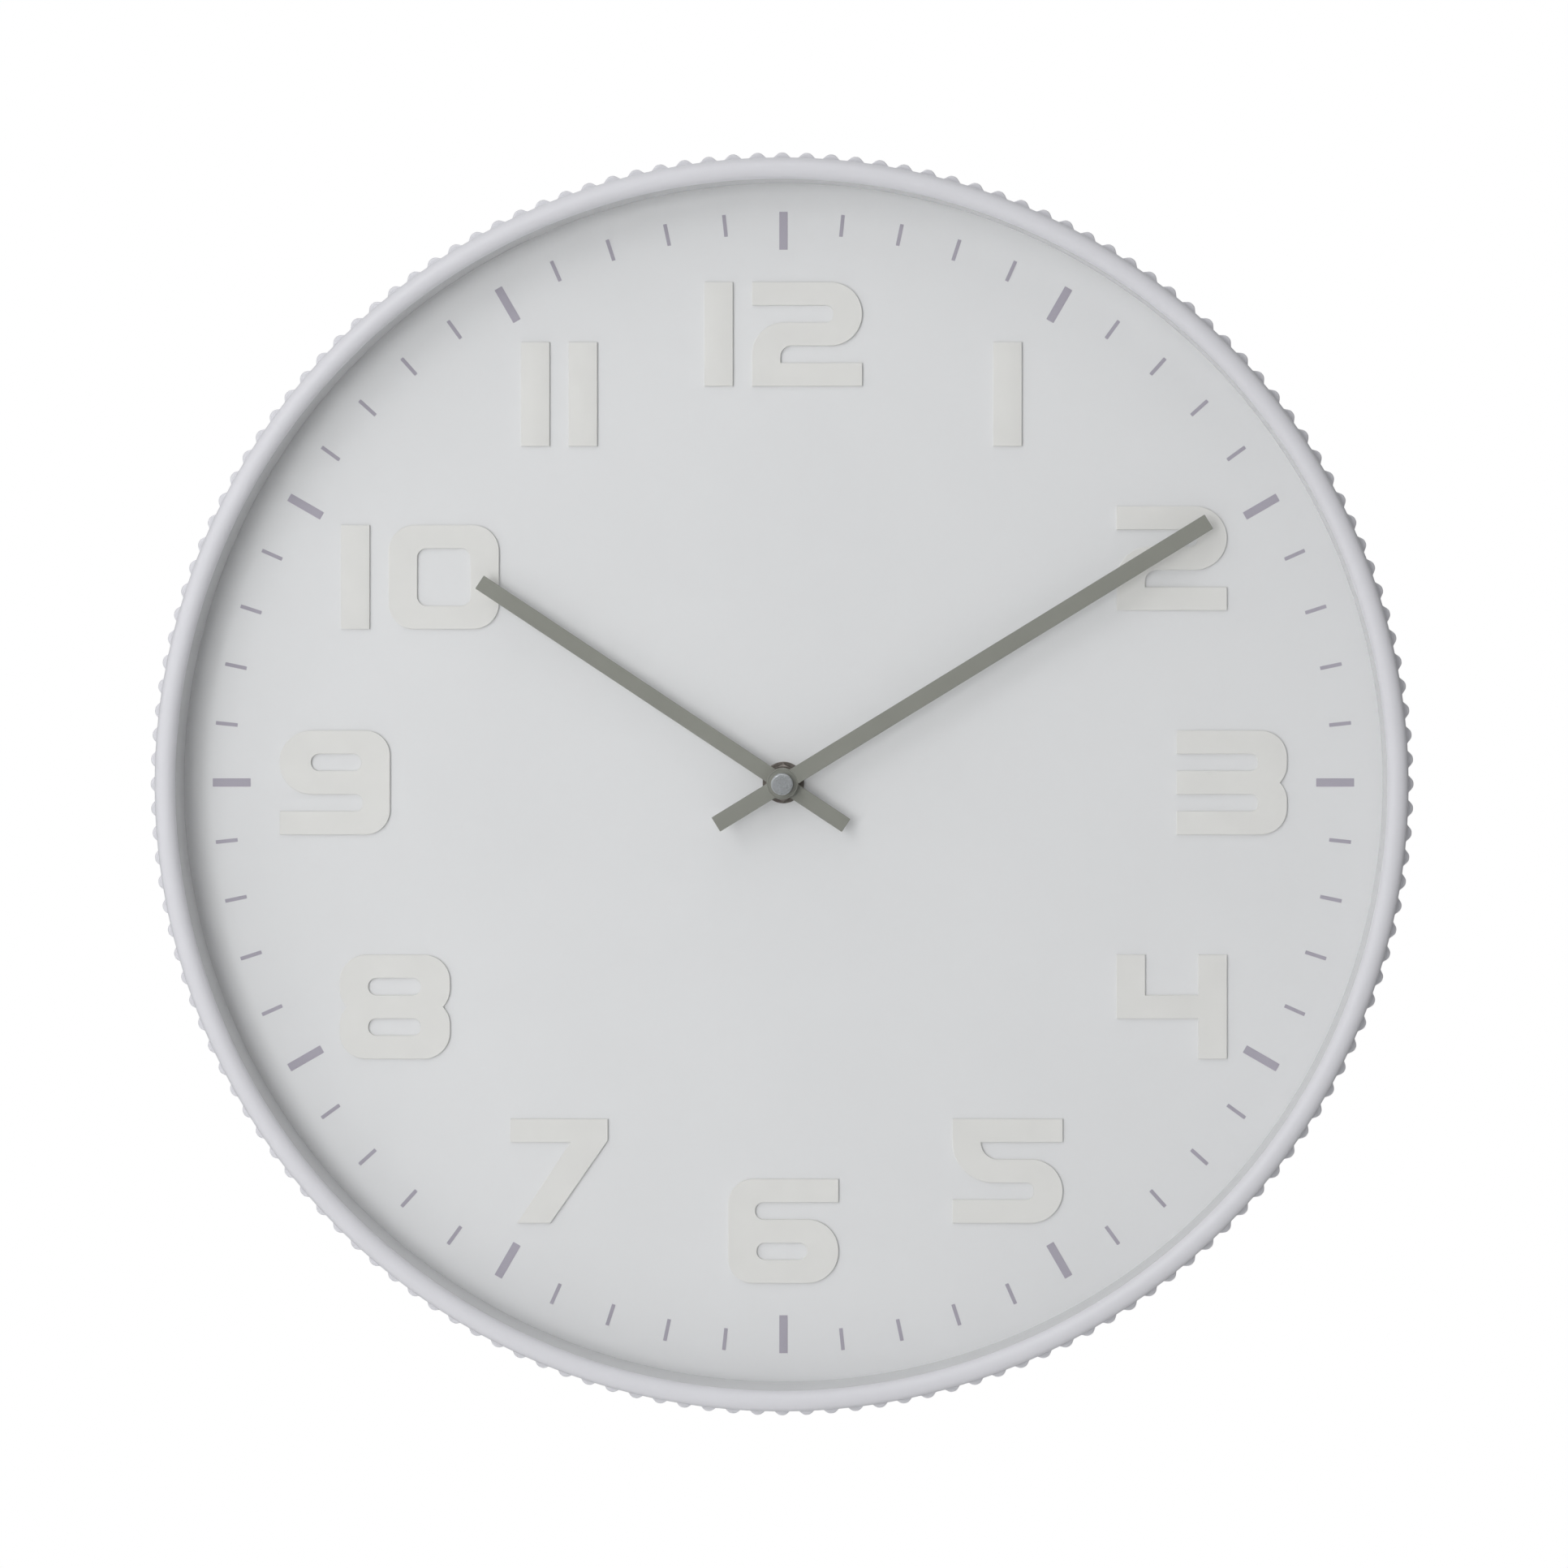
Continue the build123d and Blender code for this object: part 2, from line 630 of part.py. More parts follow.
with BuildPart() as hex_nut:
    with BuildSketch(at(WASHER_THICKNESS)):
        RegularPolygon(NUT_CORNER_RADIUS, 6, rotation=90)
        Circle(THREAD_RADIUS, mode=Mode.SUBTRACT)
    extrude(amount=NUT_HEIGHT)
    # the corners are turned down to a cone at the top
    with BuildSketch(section()):
        with BuildLine():
            nut_top = WASHER_THICKNESS + NUT_HEIGHT
            Polyline(
                (NUT_CORNER_RADIUS - NUT_BEVEL[0], nut_top),
                (NUT_CORNER_RADIUS + LOOSE_FIT, nut_top),
                (NUT_CORNER_RADIUS + LOOSE_FIT, nut_top - NUT_BEVEL[1]),
                close=True,
            )
        make_face()
    revolve(axis=ARBOR_AXIS, mode=Mode.SUBTRACT)
keep(hex_nut, "hex_nut")

# Places of the wheels' axes, from the arbor -----------------------------------------------------------------
THIRD_ANGLE, MOTION_ANGLE, STEP_ANGLE, ROTOR_ANGLE, KNOB_ANGLE = 160, 20, 95, 150, 70
CENTRE = (0.0, 0.0)
THIRD = polar(THIRD_DISTANCE, THIRD_ANGLE)
MOTION = polar(MOTION_DISTANCE, MOTION_ANGLE)
STEP = polar(STEP_DISTANCE, STEP_ANGLE)
ROTOR = add_points(STEP, polar(ROTOR_DISTANCE, ROTOR_ANGLE))
KNOB = add_points(MOTION, polar(KNOB_DISTANCE, KNOB_ANGLE))


# Gears ------------------------------------------------------------------------------------------------------
def module_of(distance, teeth_a, teeth_b):
    """The module that puts two gears in mesh at this distance."""
    return 2 * distance / (teeth_a + teeth_b)


def mesh_phase(direction, teeth, phase, mate_teeth):
    """The mate's phase, in degrees, so that its gap faces the nearest tooth along this direction."""
    pitches_past = (direction - phase) * teeth / 360
    return direction + 180 - (0.5 - pitches_past) * 360 / mate_teeth


def involute(angle):
    return math.tan(angle) - angle


def gear_outline(centre, teeth, module, addendum, mate_addendum, phase):
    """Points round a gear, flank by flank; flanks are chords of the involute from root to pitch to tip."""
    pitch_radius = teeth * module / 2
    base_radius = pitch_radius * math.cos(PRESSURE_ANGLE)
    root_radius = pitch_radius - (mate_addendum + ROOT_CLEARANCE) * module
    tip_radius = pitch_radius + addendum * module

    def half_tooth(radius):
        reach = max(radius, base_radius)
        thickness = math.pi / (2 * teeth) - BACKLASH * module / pitch_radius
        return thickness + involute(PRESSURE_ANGLE) - involute(math.acos(base_radius / reach))

    radii = [root_radius, pitch_radius, tip_radius]
    if base_radius > root_radius:
        radii.insert(1, base_radius)
    points = []
    for tooth in range(teeth):
        middle = phase + tooth * 360 / teeth
        flank = [(radius, math.degrees(half_tooth(radius))) for radius in radii]
        points += [add_points(centre, polar(radius, middle - half)) for radius, half in flank]
        points += [add_points(centre, polar(radius, middle + half)) for radius, half in reversed(flank)]
    return points


def gear_layer(centre, teeth, module, addendum, mate_addendum, phase, level):
    """A toothed layer of the part being built."""
    with BuildSketch(at(level[0])) as outline:
        with BuildLine():
            Polyline(*gear_outline(centre, teeth, module, addendum, mate_addendum, phase), close=True)
        make_face()
    extrude(outline.sketch, amount=level[1] - level[0])


def wheel_layer(centre, teeth, module, phase, level):
    """A wheel's teeth: short, to clear the small pinion's root."""
    gear_layer(centre, teeth, module, WHEEL_ADDENDUM, PINION_ADDENDUM, phase, level)


def pinion_layer(centre, teeth, module, phase, level):
    """A pinion's teeth: long, to reach into the wheel."""
    gear_layer(centre, teeth, module, PINION_ADDENDUM, WHEEL_ADDENDUM, phase, level)


def pin_layer(centre, radius, low, high, mode=Mode.ADD):
    """A round layer, or a round hole with Mode.SUBTRACT, of the part being built."""
    with BuildSketch(at(low)) as outline:
        with Locations(centre):
            Circle(radius)
    extrude(outline.sketch, amount=high - low, mode=mode)


def lighten(centre, holes_of, level):
    """Round lightening holes in a wheel's web."""
    radius, hole_radius = holes_of
    with BuildSketch(at(level[0])) as holes:
        with Locations(centre):
            with PolarLocations(radius, LIGHTENING_HOLES):
                Circle(hole_radius)
    extrude(holes.sketch, amount=level[1] - level[0], mode=Mode.SUBTRACT)


# the running train, from the rotor to the centre wheel
STEP_MODULE = module_of(ROTOR_DISTANCE, STEP_TEETH, ROTOR_PINION_TEETH)
SECONDS_MODULE = module_of(STEP_DISTANCE, SECONDS_TEETH, STEP_PINION_TEETH)
THIRD_MODULE = module_of(THIRD_DISTANCE, THIRD_TEETH, SECONDS_PINION_TEETH)
CENTRE_MODULE = module_of(THIRD_DISTANCE, CENTRE_TEETH, THIRD_PINION_TEETH)
PIVOT_LOW = LID_FRONT - PIVOT_ENGAGEMENT
PIVOT_HIGH = CHAMBER_FRONT + PIVOT_ENGAGEMENT

with BuildPart() as rotor_pinion:
    pinion_layer(ROTOR, ROTOR_PINION_TEETH, STEP_MODULE, 0, ROTOR_PINION_LEVEL)
    pin_layer(ROTOR, PIVOT_RADIUS, PIVOT_LOW, PIVOT_HIGH)
keep(rotor_pinion, "rotor_pinion")

with BuildPart() as rotor_magnet:
    pin_layer(ROTOR, MAGNET_RADIUS, *MAGNET_LEVEL)
    pin_layer(ROTOR, PIVOT_RADIUS, *MAGNET_LEVEL, Mode.SUBTRACT)
keep(rotor_magnet, "rotor_magnet")

with BuildPart() as step_wheel:
    phase = mesh_phase(ROTOR_ANGLE + 180, ROTOR_PINION_TEETH, 0, STEP_TEETH)
    wheel_layer(STEP, STEP_TEETH, STEP_MODULE, phase, STEP_WHEEL_LEVEL)
    lighten(STEP, STEP_LIGHTENING, STEP_WHEEL_LEVEL)
    pinion_layer(STEP, STEP_PINION_TEETH, SECONDS_MODULE, 0, STEP_PINION_LEVEL)
    pin_layer(STEP, PIVOT_RADIUS, PIVOT_LOW, PIVOT_HIGH)
keep(step_wheel, "step_wheel")

with BuildPart() as seconds_wheel:
    phase = mesh_phase(STEP_ANGLE + 180, STEP_PINION_TEETH, 0, SECONDS_TEETH)
    wheel_layer(CENTRE, SECONDS_TEETH, SECONDS_MODULE, phase, SECONDS_WHEEL_LEVEL)
    lighten(CENTRE, SECONDS_LIGHTENING, SECONDS_WHEEL_LEVEL)
    pinion_layer(CENTRE, SECONDS_PINION_TEETH, THIRD_MODULE, 0, SECONDS_PINION_LEVEL)
    pin_layer(CENTRE, SECONDS_PIN_RADIUS, PIVOT_LOW, SECONDS_PIN_FRONT)
keep(seconds_wheel, "seconds_wheel")

with BuildPart() as third_wheel:
    phase = mesh_phase(THIRD_ANGLE, SECONDS_PINION_TEETH, 0, THIRD_TEETH)
    wheel_layer(THIRD, THIRD_TEETH, THIRD_MODULE, phase, THIRD_WHEEL_LEVEL)
    lighten(THIRD, THIRD_LIGHTENING, THIRD_WHEEL_LEVEL)
    pinion_layer(THIRD, THIRD_PINION_TEETH, CENTRE_MODULE, 0, THIRD_PINION_LEVEL)
    pin_layer(THIRD, PIVOT_RADIUS, PIVOT_LOW, PIVOT_HIGH)
keep(third_wheel, "third_wheel")

with BuildPart() as centre_wheel:
    phase = mesh_phase(THIRD_ANGLE + 180, THIRD_PINION_TEETH, 0, CENTRE_TEETH)
    wheel_layer(CENTRE, CENTRE_TEETH, CENTRE_MODULE, phase, CENTRE_WHEEL_LEVEL)
    pin_layer(CENTRE, CENTRE_HUB_RADIUS, *CENTRE_HUB_LEVEL)
    lighten(CENTRE, CENTRE_LIGHTENING, CENTRE_WHEEL_LEVEL)
    pin_layer(CENTRE, MINUTE_SHAFT_RADIUS + FIT, *CENTRE_HUB_LEVEL, Mode.SUBTRACT)
keep(centre_wheel, "centre_wheel")

# the motion work, from the minute arbor to the hour wheel and the setting knob
MOTION_MODULE = module_of(MOTION_DISTANCE, CANNON_TEETH, MOTION_TEETH)
HOUR_MODULE = module_of(MOTION_DISTANCE, MOTION_PINION_TEETH, HOUR_TEETH)
MOTION_PHASE = mesh_phase(MOTION_ANGLE, CANNON_TEETH, 0, MOTION_TEETH)
ARBOR_TIP = CAP_BASE + CAP_HEIGHT - CAP_ROOF - 0.2
HOUR_TUBE_TOP = HOUR_HAND["base"] + HAND_THICKNESS + 0.3

with BuildPart() as minute_arbor:
    pinion_layer(CENTRE, CANNON_TEETH, MOTION_MODULE, 0, CANNON_LEVEL)
    pin_layer(CENTRE, MINUTE_SHAFT_RADIUS, ARBOR_REAR, MINUTE_HAND["base"])
    pin_layer(CENTRE, MINUTE_TIP_RADIUS, MINUTE_HAND["base"], ARBOR_TIP)
    pin_layer(CENTRE, SECONDS_PIN_RADIUS + FIT, ARBOR_REAR, SECONDS_PIN_FRONT + 0.4, Mode.SUBTRACT)
keep(minute_arbor, "minute_arbor")

with BuildPart() as motion_wheel:
    wheel_layer(MOTION, MOTION_TEETH, MOTION_MODULE, MOTION_PHASE, MOTION_WHEEL_LEVEL)
    pinion_layer(MOTION, MOTION_PINION_TEETH, HOUR_MODULE, 0, MOTION_PINION_LEVEL)
    pin_layer(
        MOTION, MOTION_POST_RADIUS + FIT, MOTION_WHEEL_LEVEL[0], MOTION_PINION_LEVEL[1], Mode.SUBTRACT
    )
keep(motion_wheel, "motion_wheel")

with BuildPart() as hour_wheel:
    phase = mesh_phase(MOTION_ANGLE + 180, MOTION_PINION_TEETH, 0, HOUR_TEETH)
    wheel_layer(CENTRE, HOUR_TEETH, HOUR_MODULE, phase, HOUR_WHEEL_LEVEL)
    pin_layer(CENTRE, HOUR_TUBE_RADIUS, HOUR_WHEEL_LEVEL[0], HOUR_TUBE_TOP)
    pin_layer(CENTRE, MINUTE_SHAFT_RADIUS + FIT, HOUR_WHEEL_LEVEL[0], HOUR_TUBE_TOP, Mode.SUBTRACT)
keep(hour_wheel, "hour_wheel")

KNOB_FRONT = MOVEMENT_REAR - 0.2
with BuildPart() as setting_knob:
    phase = mesh_phase(KNOB_ANGLE, MOTION_TEETH, MOTION_PHASE, KNOB_TEETH)
    wheel_layer(KNOB, KNOB_TEETH, MOTION_MODULE, phase, CANNON_LEVEL)
    pin_layer(KNOB, PIVOT_RADIUS, CANNON_LEVEL[1], PIVOT_HIGH)
    pin_layer(KNOB, KNOB_NECK_RADIUS, KNOB_FRONT, CANNON_LEVEL[0])
    pin_layer(KNOB, KNOB_RADIUS, KNOB_REAR, KNOB_FRONT)
    # finger grooves round the knob's rim
    with BuildSketch(at(KNOB_REAR)):
        with Locations(KNOB):
            with PolarLocations(KNOB_RADIUS + KNOB_GROOVE[0], KNOB_GROOVES):
                Circle(KNOB_GROOVE[1])
    extrude(amount=KNOB_FRONT - KNOB_REAR, mode=Mode.SUBTRACT)
keep(setting_knob, "setting_knob")

# Movement box -----------------------------------------------------------------------------------------------
COIL_CENTRE_X = sum(STATOR_LEG_X) / 2
STATOR_POSTS = [(x, ROTOR[1]) for x in STATOR_LEG_X]
CHAMBER_FOOT = BAY_TOP + MOVEMENT_WALL
POST_TIP = STATOR_LEVEL[0] - 0.5

with BuildPart() as movement_case:
    with BuildSketch(at(LID_FRONT)):
        RectangleRounded(MOVEMENT_SIDE, MOVEMENT_SIDE, 3)
    extrude(amount=MOVEMENT_FRONT - LID_FRONT)
    with BuildSketch(at(LID_FRONT)):
        box_between(-CHAMBER_HALF, CHAMBER_FOOT, CHAMBER_HALF, CHAMBER_HALF, 1)
        box_between(-CHAMBER_HALF, -CHAMBER_HALF, CHAMBER_HALF, BAY_TOP, 0.8)
    extrude(amount=CHAMBER_FRONT - LID_FRONT, mode=Mode.SUBTRACT)
    # notches at both ends of the bay wall let the contact strips through
    with BuildSketch(at(CONTACT_NOTCH[0])):
        for side in (-1, 1):
            with Locations((side * (CHAMBER_HALF - MOVEMENT_WALL / 2), BAY_TOP + MOVEMENT_WALL / 2)):
                Rectangle(MOVEMENT_WALL, MOVEMENT_WALL * 2.2)
    extrude(amount=CONTACT_NOTCH[1] - CONTACT_NOTCH[0], mode=Mode.SUBTRACT)
    pin_layer(CENTRE, THREAD_RADIUS, CHAMBER_FRONT, MOVEMENT_FRONT, Mode.SUBTRACT)
    for pivot in (THIRD, STEP, ROTOR, KNOB):
        pin_layer(pivot, PIVOT_RADIUS + FIT, CHAMBER_FRONT, PIVOT_HIGH + LOOSE_FIT, Mode.SUBTRACT)
    pin_layer(MOTION, MOTION_POST_RADIUS, MOTION_WHEEL_LEVEL[0] - 0.3, CHAMBER_FRONT)
    for post in STATOR_POSTS + BOARD_POSTS:
        pin_layer(post, POST_RADIUS + 0.5, STATOR_LEVEL[1], CHAMBER_FRONT)
        pin_layer(post, POST_RADIUS, POST_TIP, STATOR_LEVEL[1])
keep(movement_case, "movement_case")

with BuildPart() as movement_lid:
    with BuildSketch(at(MOVEMENT_REAR)):
        box_between(-MOVEMENT_SIDE / 2, BAY_TOP, MOVEMENT_SIDE / 2, MOVEMENT_SIDE / 2, 1)
    extrude(amount=MOVEMENT_WALL)
    # a locating rim drops inside the case
    with BuildSketch(at(LID_FRONT)):
        for inset, mode in ((LOOSE_FIT, Mode.ADD), (1.0, Mode.SUBTRACT)):
            reach = CHAMBER_HALF - inset
            box_between(-reach, CHAMBER_FOOT + inset, reach, reach, 1, mode)
    extrude(amount=0.8)
    for pivot in (THIRD, STEP, ROTOR):
        pin_layer(pivot, PIVOT_RADIUS + FIT, PIVOT_LOW - LOOSE_FIT, LID_FRONT, Mode.SUBTRACT)
    pin_layer(CENTRE, SECONDS_PIN_RADIUS + FIT, PIVOT_LOW - LOOSE_FIT, LID_FRONT, Mode.SUBTRACT)
    pin_layer(KNOB, KNOB_NECK_RADIUS + FIT, MOVEMENT_REAR, LID_FRONT, Mode.SUBTRACT)
keep(movement_lid, "movement_lid")

# Motor, coil and electronics --------------------------------------------------------------------------------
with BuildPart() as stator:
    with BuildSketch(at(STATOR_LEVEL[0])):
        left, right = STATOR_LEG_X
        half = STATOR_ARM / 2
        box_between(left - half, ROTOR[1] - half, right + half, ROTOR[1] + half)
        for leg in STATOR_LEG_X:
            box_between(leg - half, ROTOR[1] - half, leg + half, COIL_LINE_Y + half)
        with Locations(ROTOR):
            Circle(STATOR_EYE[0])
            Circle(STATOR_EYE[1], mode=Mode.SUBTRACT)
        with Locations(*STATOR_POSTS):
            Circle(POST_RADIUS, mode=Mode.SUBTRACT)
    extrude(amount=STATOR_LEVEL[1] - STATOR_LEVEL[0])
keep(stator, "stator")

with BuildPart() as coil_core:
    with BuildSketch(at(CORE_LEVEL[0])):
        box_between(
            STATOR_LEG_X[0] - CORE_HALF_WIDTH,
            COIL_LINE_Y - CORE_HALF_WIDTH,
            STATOR_LEG_X[1] + CORE_HALF_WIDTH,
            COIL_LINE_Y + CORE_HALF_WIDTH,
        )
    extrude(amount=CORE_LEVEL[1] - CORE_LEVEL[0])
keep(coil_core, "coil_core")


def coil_layer(half_length, half_width, half_depth, mode=Mode.ADD, centre_x=COIL_CENTRE_X):
    """A block round the coil's line, centred on the core."""
    middle = sum(CORE_LEVEL) / 2
    with BuildSketch(at(middle - half_depth)) as block:
        with Locations((centre_x, COIL_LINE_Y)):
            Rectangle(2 * half_length, 2 * half_width)
    extrude(block.sketch, amount=2 * half_depth, mode=mode)


with BuildPart() as coil_bobbin:
    coil_layer(BOBBIN_HALF, *BOBBIN_TUBE)
    for side in (-1, 1):
        flange_x = COIL_CENTRE_X + side * (BOBBIN_HALF - FLANGE / 2)
        coil_layer(FLANGE / 2, FLANGE_HALF, FLANGE_HALF, centre_x=flange_x)
    coil_layer(BOBBIN_HALF, CORE_HALF_WIDTH, CORE_THICKNESS / 2, Mode.SUBTRACT)
keep(coil_bobbin, "coil_bobbin")

with BuildPart() as coil_winding:
    coil_layer(BOBBIN_HALF - FLANGE, WINDING_HALF, WINDING_HALF)
    fillet(coil_winding.edges().filter_by(Axis.X), 1.2)
    coil_layer(BOBBIN_HALF - FLANGE, *BOBBIN_TUBE, Mode.SUBTRACT)
keep(coil_winding, "coil_winding")

# the board lies level with the stator
with BuildPart() as circuit_board:
    with BuildSketch(at(STATOR_LEVEL[0])):
        box_between(*BOARD_EDGES)
        with Locations(*BOARD_POSTS):
            Circle(POST_RADIUS, mode=Mode.SUBTRACT)
    extrude(amount=STATOR_LEVEL[1] - STATOR_LEVEL[0])
keep(circuit_board, "circuit_board")

with BuildPart() as chip:
    pin_layer(CHIP_CENTRE, CHIP_RADIUS, STATOR_LEVEL[0] - 1.0, STATOR_LEVEL[0])
    fillet(chip.edges().sort_by(Axis.Y)[-1], 0.8)
keep(chip, "chip")

# the crystal is a small can lying along the board's front face
with BuildPart() as quartz_crystal:
    with BuildSketch(Plane.YZ.offset(CRYSTAL_LEFT)):
        crystal_level = STATOR_LEVEL[1] + CRYSTAL_RADIUS + FIT
        with Locations((WALL - crystal_level, CRYSTAL_Y - HANGER_ABOVE_ARBOR)):
            Circle(CRYSTAL_RADIUS)
    extrude(amount=CRYSTAL_LENGTH)
keep(quartz_crystal, "quartz_crystal")

# the cell lies across the bay with its raised end to the right
with BuildPart() as battery:
    nub_radius, nub_length = BATTERY_NUB
    with BuildSketch(Plane.YZ.offset(BATTERY_TAIL_X)):
        with Locations((WALL - BATTERY_LEVEL, BATTERY_Y - HANGER_ABOVE_ARBOR)):
            Circle(BATTERY_RADIUS)
    extrude(amount=BATTERY_LENGTH - nub_length)
    with BuildSketch(Plane.YZ.offset(BATTERY_TIP_X - nub_length)):
        with Locations((WALL - BATTERY_LEVEL, BATTERY_Y - HANGER_ABOVE_ARBOR)):
            Circle(nub_radius)
    extrude(amount=nub_length)
keep(battery, "battery")


def flat_strip(left, foot, right, top, level):
    """A rectangular layer of contact strip between two heights."""
    with BuildSketch(at(level[0])) as strip:
        box_between(left, foot, right, top)
    extrude(strip.sketch, amount=level[1] - level[0])


with BuildPart() as positive_contact:
    strip_right = CHAMBER_HALF - 0.2
    strip_left = strip_right - CONTACT_STRIP
    flat_strip(strip_left, BATTERY_Y - CONTACT_HALF, strip_right, BATTERY_Y + CONTACT_HALF, CONTACT_LEVEL)
    flat_strip(strip_left, BATTERY_Y + CONTACT_HALF, strip_right, STRIP_TOP, STRIP_LEVEL)
keep(positive_contact, "positive_contact")

with BuildPart() as negative_contact:
    strip_left = LOOSE_FIT - CHAMBER_HALF
    strip_right = strip_left + CONTACT_STRIP
    foot = BATTERY_Y - CONTACT_HALF
    top = BATTERY_Y + CONTACT_HALF
    flat_strip(strip_left, foot, strip_right, top, CONTACT_LEVEL)
    flat_strip(strip_left, top, strip_right, LEAF_TOP, STRIP_LEVEL)
    flat_strip(strip_left, LEAF_TOP - CONTACT_STRIP, LEAF_RIGHT, LEAF_TOP, STRIP_LEVEL)
    # the leaf bows out to meet the cell
    bow = BATTERY_TAIL_X - LOOSE_FIT
    with BuildSketch(at(LEAF_LEVEL[0])):
        with BuildLine():
            ThreePointArc((strip_right, foot), (bow, BATTERY_Y), (strip_right, top))
            Line((strip_right, top), (strip_right, top - LEAF_LAND))
            ThreePointArc(
                (strip_right, top - LEAF_LAND),
                (bow - CONTACT_STRIP * 0.75, BATTERY_Y),
                (strip_right, foot + LEAF_LAND),
            )
            Line((strip_right, foot + LEAF_LAND), (strip_right, foot))
        make_face()
    extrude(amount=LEAF_LEVEL[1] - LEAF_LEVEL[0])
keep(negative_contact, "negative_contact")

# Back of the case -------------------------------------------------------------------------------------------
MOVEMENT_WINDOW = MOVEMENT_SIDE + 2 * WINDOW_GAP
HANGER_SCREWS = [(side * HANGER_SCREW_SPREAD, HANGER_MIDDLE[1]) for side in (-1, 1)]

with BuildPart() as back_cover:
    with BuildSketch(at(COVER_REAR)):
        Circle(COVER_RADIUS)
    extrude(amount=COVER_THICKNESS)
    chamfer(back_cover.edges().filter_by(GeomType.CIRCLE).sort_by(Axis.Y)[-1], EDGE_BREAK)
    # the inner wall that bears on the back of the dial
    with BuildSketch(at(RIM_REAR)):
        Circle(SUPPORT_RING[1])
        Circle(SUPPORT_RING[0], mode=Mode.SUBTRACT)
    extrude(amount=-DIAL_THICKNESS - RIM_REAR)
    # stiffening ribs and a wall round the movement
    with BuildSketch(at(RIM_REAR)):
        middle_of_rib = (SUPPORT_RING[0] + CENTRE_WALL[1]) / 2
        with PolarLocations(middle_of_rib, STIFFENER_COUNT, start_angle=180 / STIFFENER_COUNT):
            Rectangle(SUPPORT_RING[0] - CENTRE_WALL[1] + 1, STIFFENER_WIDTH)
        Circle(CENTRE_WALL[0])
        Circle(CENTRE_WALL[1], mode=Mode.SUBTRACT)
    extrude(amount=STIFFENER_HEIGHT)
    with BuildSketch(at(COVER_REAR)):
        Rectangle(MOVEMENT_WINDOW, MOVEMENT_WINDOW)
        with Locations(HANGER_MIDDLE):
            RectangleRounded(*CAVITY, 2)
        with Locations(*HANGER_SCREWS):
            Circle(HANGER_SCREW_RADIUS)
        with PolarLocations(CASE_SCREW_CIRCLE, CASE_SCREW_COUNT, start_angle=CASE_SCREW_START):
            Circle(CASE_SCREW_RADIUS)
    extrude(amount=COVER_THICKNESS, mode=Mode.SUBTRACT)
keep(back_cover, "back_cover")

with BuildPart() as hanger_plate:
    with BuildSketch(at(COVER_REAR - HANGER_PLATE_THICKNESS)):
        with Locations(HANGER_MIDDLE):
            RectangleRounded(*HANGER_PLATE, 3)
        with Locations((0, HANGER_ABOVE_ARBOR)):
            Circle(KEYHOLE_SLOT_RADIUS, mode=Mode.SUBTRACT)
        with Locations((0, HANGER_ABOVE_ARBOR - KEYHOLE_TRAVEL)):
            Circle(KEYHOLE_EYE_RADIUS, mode=Mode.SUBTRACT)
        with Locations((0, HANGER_ABOVE_ARBOR - KEYHOLE_TRAVEL / 2)):
            Rectangle(2 * KEYHOLE_SLOT_RADIUS, KEYHOLE_TRAVEL, mode=Mode.SUBTRACT)
        with Locations(*HANGER_SCREWS):
            Circle(HANGER_SCREW_RADIUS, mode=Mode.SUBTRACT)
    extrude(amount=HANGER_PLATE_THICKNESS)
keep(hanger_plate, "hanger_plate")


def screws(label, places, shank_radius, head, seat, length):
    """Pan-head screws driven from the back; the seat is the height of the surface under the heads."""
    head_radius, head_height = head
    with BuildPart() as group:
        with BuildSketch(at(seat)):
            with Locations(*places):
                Circle(shank_radius)
        extrude(amount=length)
        with BuildSketch(at(seat - head_height)):
            with Locations(*places):
                Circle(head_radius)
        extrude(amount=head_height)
        chamfer(group.edges().filter_by(GeomType.CIRCLE).group_by(Axis.Y)[-1], head_height * 0.4)
        # cross recess
        with BuildSketch(at(seat - head_height)):
            with Locations(*places):
                Rectangle(head_radius * 1.2, head_radius * 0.3)
                Rectangle(head_radius * 0.3, head_radius * 1.2)
        extrude(amount=head_height * 0.6, mode=Mode.SUBTRACT)
    keep(group, label)


CASE_SCREW_PLACES = [
    polar(CASE_SCREW_CIRCLE, CASE_SCREW_START + turn * 360 / CASE_SCREW_COUNT)
    for turn in range(CASE_SCREW_COUNT)
]
screws("case_screws", CASE_SCREW_PLACES, CASE_SCREW_RADIUS, CASE_SCREW_HEAD, COVER_REAR, CASE_SCREW_LENGTH)
HANGER_SEAT = COVER_REAR - HANGER_PLATE_THICKNESS
screws(
    "hanger_screws",
    HANGER_SCREWS,
    HANGER_SCREW_RADIUS,
    HANGER_SCREW_HEAD,
    HANGER_SEAT,
    HANGER_SCREW_LENGTH,
)

with BuildPart() as wall_bumpers:
    with BuildSketch(at(WALL)):
        with Locations(*[polar(BUMPER_CIRCLE, turn) for turn in BUMPER_ANGLES]):
            Circle(BUMPER_RADIUS)
    extrude(amount=COVER_REAR - WALL)
    chamfer(wall_bumpers.edges().filter_by(GeomType.CIRCLE).group_by(Axis.Y)[-1], EDGE_BREAK)
keep(wall_bumpers, "wall_bumpers")
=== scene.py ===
"""Looks of the wall clock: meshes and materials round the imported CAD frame, with its light and camera."""

import json
import math

